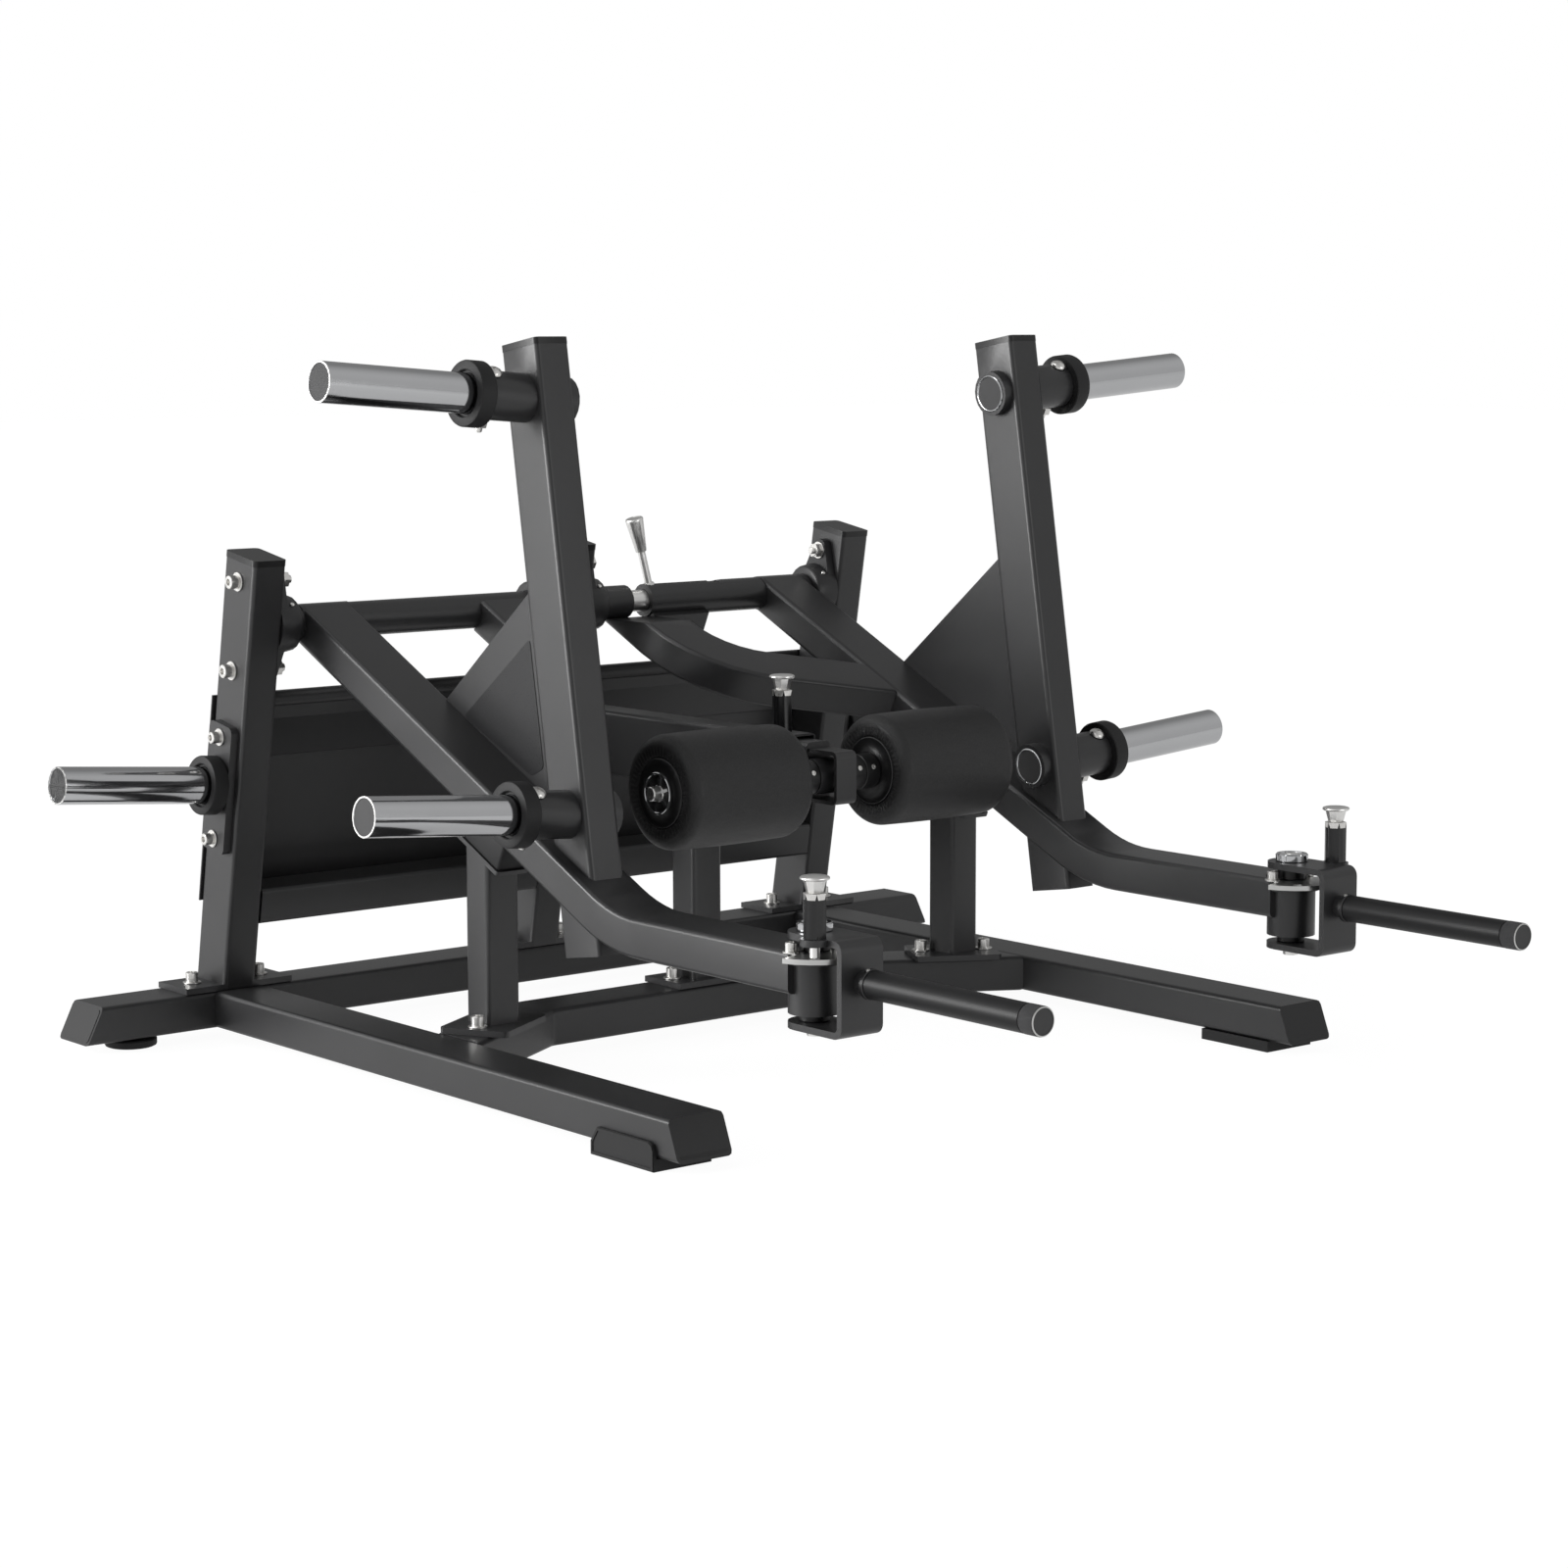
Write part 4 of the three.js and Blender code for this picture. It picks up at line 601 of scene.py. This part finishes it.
# ---------------------------------------------------------------- pull knobs
def pull_knob(name, x, y, z_nose, z_head, radius, height, pin, body, node):
    """Mushroom cap on a faceted waist over a plain locking pin."""
    bm = bmesh.new()
    base = P(x, y, z_nose)
    head = z_head - z_nose
    add_lathe(bm, [(0, 0), (0, pin - 1.2), (1.4, pin - 0.1), (head, pin - 0.1), (head, 0)], base,
              Z, 32)
    k = height / 20.0
    add_lathe(bm, [(head, 0), (head, radius * 0.53), (head + 0.8 * k, radius * 0.56),
                   (head + 14.6 * k, radius * 0.76), (head + 14.6 * k, 0)], base, Z, 8)
    cap = [(14.2, 0.70), (14.6, 0.88), (15.4, 0.965), (16.4, 1.0), (17.6, 0.99), (18.6, 0.93),
           (19.3, 0.8), (19.75, 0.55), (20.0, 0.25), (20.0, 0)]
    add_lathe(bm, [(head + 14.2 * k, 0)] + [(head + a * k, radius * b) for a, b in cap], base, Z,
              64)
    return finish_mesh(name, bm, "satin", body, 32, (node,))


# Index plungers stand on the ear of each handle, this far and this many degrees round its pin
EAR_REACH, EAR_TURN = 55.0, rad(50)
INDEX_PIN, PULL_PIN = 6.0, 5.5
KNOBS = []
for side, s in SIDES:
    x = s * (ARM_X + EAR_REACH * math.cos(EAR_TURN))
    y = SWIVEL_Y - EAR_REACH * math.sin(EAR_TURN)
    KNOBS.append((x, y))
    pull_knob(f"{side}_index_knob", x, y, 254.3, 329.3, 17.4, 20.0, INDEX_PIN,
              f"{side}_plunger", f"{side}_index_plunger")
    for k, dx in enumerate((-32.5, 32.5)):
        socket_bolt(f"{side}_index_stop_{k}", P(s * ARM_X + dx, -1120.0, 254.1), Z, f"{side}_arm",
                    7.2, 10.4, 9.6)
pull_knob("roller_knob", 0.0, -581.0, 420.6, 482.8, 16.9, 21.0, PULL_PIN, "carriage_pin",
          "roller_pull_pin")

# ---------------------------------------------------------------- grips
GRIP_START, GRIP_TIP, GRIP_CAP = -1224.3, -1497.0, 23.0
RING_Y, SCREW_Y = -1217.6, -1220.8

for side, s in SIDES:
    length = GRIP_START - GRIP_TIP
    split = length - GRIP_CAP
    origin = P(s * GRIP_X, GRIP_START, GRIP_Z)
    lathe(f"{side}_grip_sleeve",
          [(0, 12.8), (0, 15.8), (0.9, 16.8), (split - 1.0, 16.8), (split, 16.0), (split, 12.8)],
          origin, -Y, "grip", f"{side}_handle", 64, None, (f"{side}_grip",))
    lathe(f"{side}_grip_cap",
          [(split + 0.3, 12.8), (split + 0.3, 16.4), (split + 1.2, 17.0), (length - 2.4, 17.0),
           (length - 0.8, 16.6), (length, 15.9), (length, 15.1), (length - 0.9, 14.7),
           (length - 0.9, 0), (split + 2.0, 0), (split + 2.0, 12.8)], origin, -Y,
          ["grip_end", "grey_disc", "zinc"], f"{side}_handle", 64,
          [0, 0, 0, 0, 2, 2, 1, 1, 0, 0, 0])
    lathe(f"{side}_grip_ring",
          [(0, 14.2), (0, 17.2), (0.8, 18.0), (5.6, 18.0), (6.4, 17.2), (6.4, 16.9), (0.2, 16.9)],
          P(s * GRIP_X, RING_Y, GRIP_Z), -Y, ["plastic", "grey_disc"], f"{side}_handle",
          64, [0, 1, 0, 1, 0, 0, 0])
    lathe(f"{side}_grip_screw",
          [(0, 0), (0, 2.6), (0.8, 2.6), (1.0, 2.2), (1.0, 1.2), (0.4, 1.2), (0.4, 0)],
          P(s * GRIP_X, SCREW_Y, GRIP_Z) + (Z * 0.94 - X * 0.34) * 17.9 / 1000,
          Z * 0.94 - X * 0.34, "stainless", f"{side}_handle", 20)
    # swivel pin: chrome cap, black spacers, plain pin and the bolt head under the strap
    bm = bmesh.new()
    pin = P(s * ARM_X, SWIVEL_Y, 0)
    add_lathe(bm, [(277.3, 0), (277.3, 20.2), (278.1, 21.0), (285.6, 21.0), (287.3, 19.3),
                   (287.3, 15.6), (286.0, 14.8), (286.0, 7.6), (287.0, 7.0), (287.0, 0)],
              pin, Z, 64, [0, 0, 0, 0, 0, 0, 1, 1, 1, 1])
    add_lathe(bm, [(164.8, 0), (164.8, 9.9), (277.2, 9.9), (277.2, 0)], pin, Z, 40, [1])
    for low, high in ((173.4, 181.6), (254.5, 268.6)):
        add_lathe(bm, [(low, 10.1), (low, 17.2), (low + 0.8, 18.0), (high - 0.8, 18.0),
                       (high, 17.2), (high, 10.1)], pin, Z, 48, [2])
    add_lathe(bm, [(162.7, 0), (162.7, 11.6), (163.1, 12.0), (164.6, 12.0), (164.6, 0)], pin, Z,
              40, [1])
    count = len(bm.faces)
    add_prism(bm, ring(9.8, 6), pin, X, Y, 155.4, 162.6)
    bm.faces.ensure_lookup_table()
    for f in bm.faces[count:]:
        f.material_index = 1
    finish_mesh(f"{side}_swivel_bolt", bm, ["chrome", "satin", "plastic"], f"{side}_handle",
                35, (f"{side}_swivel_pin",))

# ---------------------------------------------------------------- coupler lever
ROD_START, ROD_STEP, LEVER_X = -95.0, 208.3, 163.4
bm = bmesh.new()
add_lathe(bm, [(0, 0), (0, 8.5), (2, 10.4), (ROD_STEP, 10.4), (ROD_STEP, 15.7), (297.4, 15.7),
               (299.6, 13.8), (299.6, 12.0), (298.6, 11.4), (298.6, 0)],
          P(ROD_START, PIVOT_Y, PIVOT_Z), X, 72)
lever = Vector((-math.sin(rad(LEVER_LEAN)), 0, math.cos(rad(LEVER_LEAN))))
foot = P(LEVER_X, PIVOT_Y, PIVOT_Z)
add_lathe(bm, [(13.0, 0), (13.0, 8.4), (24.6, 8.4), (26.0, 7.2), (26.0, 0)], foot, lever, 40)
add_lathe(bm, [(10.0, 0), (10.0, 5.4), (76.0, 5.4), (76.0, 0)], foot, lever, 40)
finish_mesh("coupler_bar", bm, "satin", "coupler", 35, ("coupler_rod",))
lathe("coupler_grip",
      [(73.7, 0), (73.7, 7.2), (74.9, 8.2), (120.0, 12.9), (122.4, 13.2), (124.0, 12.4),
       (124.7, 11.0), (124.7, 9.6), (124.2, 9.0), (124.2, 0)], foot, lever, "satin",
      "coupler", 56)

# ---------------------------------------------------------------- caps, hem, placard, nipples
CAP_SECTION, CAP_SPAN = (50.9, 75.9, 6.4), (-8.5, -0.15)
UPRIGHT_TOP, BLADE_TOP = (-103.05, 660.4), (-583.6, 942.8)

for name, x in STATIONS:
    sleeve(f"{name}_upright_cap", P(x, *UPRIGHT_TOP), X, lean_depth, CAP_SECTION, *CAP_SPAN,
           "frame")
blade_depth = Vector((0, math.cos(rad(BLADE_LEAN)), -math.sin(rad(BLADE_LEAN))))
for side, s in SIDES:
    sleeve(f"{side}_blade_cap", P(s * BLADE_X, *BLADE_TOP), X, blade_depth, CAP_SECTION,
           *CAP_SPAN, f"{side}_arm")
    paint(f"{side}_blade", "plastic", lambda c, n: n.z > 0.95 and c.z > 0.93)

def shoe_outline(inset):
    """Side of the rubber shoe: y from the front, z from the floor."""
    i = inset
    front, rear, top = -1021.6, -901.4, 34.6
    return [(front + i, i), (rear - i, i), (rear - i, 17.0 - i * 0.3),
            (-914.0 - i * 0.4, top - i), (-1012.0 + i * 0.4, top - i),
            (-1018.6 + i * 0.8, 31.6 - i), (front + i, 25.0 - i * 0.3)]


PLUG = rounded(71.0, 47.0, 5.0)
PLUG_SPAN = (-0.2, 0.7)
END_SLANT, TUBE_HEIGHT, TUBE_MIDDLE = 24.5, 50.0, 40.0


for side, s in SIDES:
    name = f"{side}_front_foot_pad"
    bm = bmesh.new()
    add_prism(bm, shoe_outline(0.0), P(0, 0, 0), Y, Z, s * 552.4, s * 557.0)
    softened(bm, 0.9)
    add_band(bm, shoe_outline(0.9), shoe_outline(4.2), P(0, 0, 0), Y, Z, s * 556.9, s * 558.1)
    base = bmesh.new()
    add_prism(base, [(-1021.4, 0.0), (-901.6, 0.0), (-901.6, 14.7), (-1021.4, 14.7)],
              P(0, 0, 0), Y, Z, s * 472.3, s * 552.6)
    softened(base, 1.6)
    mesh = bpy.data.meshes.new("shoe_base")
    base.to_mesh(mesh)
    base.free()
    bm.from_mesh(mesh)
    finish_mesh(f"{name}_shoe", bm, "rubber", "frame", 40, (name,))
    name = f"{side}_rear_foot"
    lathe(f"{name}_pad",
          [(0, 0), (0, 31.4), (1.2, 34.0), (3.0, 34.9), (9.4, 34.9), (11.2, 33.4), (11.9, 30.0),
           (11.9, 13.0), (14.9, 12.0), (14.9, 6.0), (23.8, 6.0), (23.8, 0)], P(s * 660.0, 0, 0), Z,
          "rubber", "frame", 56, None, (name,))
    name = f"{side}_stop_bumper"
    bm = bmesh.new()
    bm.from_mesh(nodes[name].data)
    bmesh.ops.remove_doubles(bm, verts=bm.verts, dist=1e-5)
    bmesh.ops.dissolve_limit(bm, angle_limit=rad(1), verts=bm.verts, edges=bm.edges)
    softened(bm, 1.8, 3)
    for f in bm.faces:
        f.material_index = 0
    finish_mesh(f"{name}_block", bm, "rubber", "frame", 40, (name,))
    # plugs in the slanted tube ends, with a fine step round the edge
    tilt = Vector((0, END_SLANT, TUBE_HEIGHT)).normalized()
    bm = bmesh.new()
    add_prism(bm, PLUG, P(s * UPRIGHT_X, -1048.75, TUBE_MIDDLE), X, tilt, *PLUG_SPAN)
    finish_mesh(f"{side}_rail_plug", bm, "plastic", "frame", 30)
    tilt = Vector((-s * END_SLANT, 0, TUBE_HEIGHT)).normalized()
    bm = bmesh.new()
    add_prism(bm, PLUG, P(s * 733.75, 0, TUBE_MIDDLE), Y * s, tilt, *PLUG_SPAN)
    finish_mesh(f"{side}_base_plug", bm, "plastic", "frame", 30)

# rolled hem along the top of the rear panel, one length in each bay
along = Vector((0, -6.8, 39.0)).normalized()
front = Vector((0, -along.z, along.y))
BAY_INNER, BAY_OUTER = 26.0, 486.0
BAY = BAY_OUTER - BAY_INNER

for side, s in SIDES:
    bay_start = min(s * BAY_INNER, s * BAY_OUTER)
    outline = []
    for i in range(13):
        t = math.pi * i / 12
        outline.append((-11.0 + 11.0 * math.cos(t), 6.0 * math.sin(t)))
    outline += [(-22.0, -1.0), (0.0, -1.0)]
    bm = bmesh.new()
    add_prism(bm, outline, P(bay_start, -28.6, 467.9), along, front, 0, BAY)
    # the folded band under it, whose lower edge stands proud
    band_along = Vector((0, -6.1, 50.4)).normalized()
    band_front = Vector((0, -band_along.z, band_along.y))
    band = [(0.0, -1.0), (-50.6, -1.0), (-50.6, 5.6), (-49.6, 6.6), (0.0, 0.2)]
    add_prism(bm, band, P(bay_start, -21.8, 428.9), band_along, band_front, 0, BAY)
    finish_mesh(f"{side}_panel_hem", bm, "powder", "frame", 30)

# bare sheet on the left gusset
corners = [(-523.8, 567.7), (-375.5, 456.9), (-525.6, 392.6), (-551.4, 405.1)]
soft = []
for i, c in enumerate(corners):
    prev, nxt = corners[i - 1], corners[(i + 1) % 4]
    c, prev, nxt = (Vector((*q, 0)) for q in (c, prev, nxt))
    for k in range(5):
        f = k / 4
        a = c + (prev - c).normalized() * 7.0
        b = c + (nxt - c).normalized() * 7.0
        q = a * (1 - f) ** 2 + c * 2 * f * (1 - f) + b * f ** 2
        soft.append((q.x, q.y))
bm = bmesh.new()
add_prism(bm, soft, P(-367.5, 0, 0), Y, Z, -0.7, -0.05)
finish_mesh("left_gusset_placard", bm, "placard", "left_arm", 30)

# grease nipples on the flange bearings
for side, s in SIDES:
    for where, hub in (("outer", 466.0), ("inner", 46.0)):
        d = (lean_axis * math.cos(rad(38)) - lean_depth * math.sin(rad(38))).normalized()
        lathe(f"{side}_{where}_nipple",
              [(0, 0), (0, 3.6), (2.4, 3.6), (2.4, 2.4), (4.6, 2.2), (5.4, 3.0), (6.8, 2.8),
               (7.6, 1.6), (7.6, 0)], P(s * hub, PIVOT_Y, PIVOT_Z) + d * 35.0 / 1000, d,
              "stainless", "frame", 20)

# ---------------------------------------------------------------- painted regions
for side, s in SIDES:
    paint(f"{side}_arm_beam", "zinc",
          lambda c, n: 0.2481 < c.z < 0.2545 and (c.y - (SWIVEL_Y + SHIFT) / 1000) < 0.02)
    paint(f"{side}_upright", "plastic", lambda c, n: n.dot(lean_axis) > 0.95 and c.z > 0.6)
    paint(f"{side}_side_rail", "plastic", lambda c, n: n.y < -0.3 and c.y < -0.26)
    ear = P(*KNOBS[0 if s < 0 else 1], 0)

    def near(c, ear=ear):
        return math.hypot(c.x - ear.x, c.y - ear.y) < 0.0165
    paint(f"{side}_handle_bracket", "barrel",
          lambda c, n, near=near: near(c) and 0.2775 < c.z < 0.3215)
    paint(f"{side}_handle_bracket", "stainless",
          lambda c, n, near=near: near(c) and c.z > 0.3215)
paint("middle_upright", "plastic", lambda c, n: n.dot(lean_axis) > 0.95 and c.z > 0.6)
paint("rear_base_tube", "plastic", lambda c, n: abs(n.x) > 0.5 and abs(c.x) > 0.7)
paint("centre_beam", "barrel", lambda c, n: 0.4285 < c.z < 0.4753 and c.y < 0.2)
paint("centre_beam", "stainless", lambda c, n: c.z > 0.4753)

# ---------------------------------------------------------------- floor, world and lamps
bpy.ops.mesh.primitive_plane_add(size=60, location=(0, 0, -0.0005))
floor = bpy.context.object
floor.name = "floor"
fm = bpy.data.materials.new("floor")
fm.use_nodes = True
nt = fm.node_tree
nt.nodes.clear()
out = nt.nodes.new("ShaderNodeOutputMaterial")
diffuse = nt.nodes.new("ShaderNodeBsdfDiffuse")
diffuse.inputs["Color"].default_value = (0.82, 0.82, 0.82, 1)
glow = nt.nodes.new("ShaderNodeEmission")
glow.inputs["Color"].default_value = (1, 1, 1, 1)
glow.inputs["Strength"].default_value = 1.11


def background_rays(nt, camera_part, glossy_part):
    """How much of the plain background camera, mirror and glass rays meet."""
    path = nt.nodes.new("ShaderNodeLightPath")
    total = None
    for ray, part in (("Is Camera Ray", camera_part), ("Is Glossy Ray", glossy_part),
                      ("Is Transmission Ray", glossy_part)):
        term = nt.nodes.new("ShaderNodeMath")
        term.operation = "MULTIPLY"
        term.inputs[1].default_value = part
        nt.links.new(path.outputs[ray], term.inputs[0])
        if total is None:
            total = term
            continue
        both = nt.nodes.new("ShaderNodeMath")
        both.operation = "MAXIMUM"
        nt.links.new(total.outputs[0], both.inputs[0])
        nt.links.new(term.outputs[0], both.inputs[1])
        total = both
    return total.outputs[0]


mix = nt.nodes.new("ShaderNodeMixShader")
nt.links.new(background_rays(nt, 0.86, 0.4), mix.inputs["Fac"])
nt.links.new(diffuse.outputs[0], mix.inputs[1])
nt.links.new(glow.outputs[0], mix.inputs[2])
nt.links.new(mix.outputs[0], out.inputs["Surface"])
floor.data.materials.append(fm)

world = bpy.data.worlds.new("world")
scene.world = world
world.use_nodes = True
nt = world.node_tree
nt.nodes.clear()
out = nt.nodes.new("ShaderNodeOutputWorld")
soft = nt.nodes.new("ShaderNodeBackground")
white = nt.nodes.new("ShaderNodeBackground")
white.inputs["Color"].default_value = (1, 1, 1, 1)
white.inputs["Strength"].default_value = 1.0
coord = nt.nodes.new("ShaderNodeTexCoord")
level = None
# A dim room, brighter overhead, with a wide soft glow from the left and a weaker one from the right
for direction, low, high, amount in (((0, 0, 1), 0.1, 1.0, 0.12),
                                     ((-0.78, 0.6, 0.08), 0.3, 0.98, 1.25),
                                     ((-0.97, -0.15, 0.15), 0.3, 1.0, 0.6),
                                     ((0.7, -0.66, 0.3), 0.35, 1.0, 0.5)):
    dot = nt.nodes.new("ShaderNodeVectorMath")
    dot.operation = "DOT_PRODUCT"
    dot.inputs[1].default_value = direction
    nt.links.new(coord.outputs["Generated"], dot.inputs[0])
    span = nt.nodes.new("ShaderNodeMapRange")
    span.interpolation_type = "SMOOTHSTEP"
    for key, value in (("From Min", low), ("From Max", high), ("To Max", amount)):
        span.inputs[key].default_value = value
    nt.links.new(dot.outputs["Value"], span.inputs["Value"])
    both = nt.nodes.new("ShaderNodeMath")
    both.operation = "ADD"
    both.inputs[0].default_value = 0.09
    if level:
        nt.links.new(level, both.inputs[0])
    nt.links.new(span.outputs["Result"], both.inputs[1])
    level = both.outputs[0]
nt.links.new(level, soft.inputs["Strength"])
mix = nt.nodes.new("ShaderNodeMixShader")
nt.links.new(background_rays(nt, 1.0, 0.2), mix.inputs["Fac"])
nt.links.new(soft.outputs[0], mix.inputs[1])
nt.links.new(white.outputs[0], mix.inputs[2])
nt.links.new(mix.outputs[0], out.inputs["Surface"])


def lamp(name, location, target, size, power):
    data = bpy.data.lights.new(name, "AREA")
    data.energy = power
    data.size = size
    obj = bpy.data.objects.new(name, data)
    obj.location = location
    obj.rotation_euler = (Vector(target) - Vector(location)).to_track_quat("-Z", "Y").to_euler()
    scene.collection.objects.link(obj)


lamp("key", (-4.2, 2.5, 1.3), (0, -0.1, 0.4), 2.0, 170)
lamp("top", (-1.6, 0.6, 4.0), (0, 0, 0.3), 1.6, 14)
lamp("fill", (0.9, -4.8, 1.1), (0, 0, 0.4), 2.4, 34)

scene.view_settings.view_transform = "Standard"
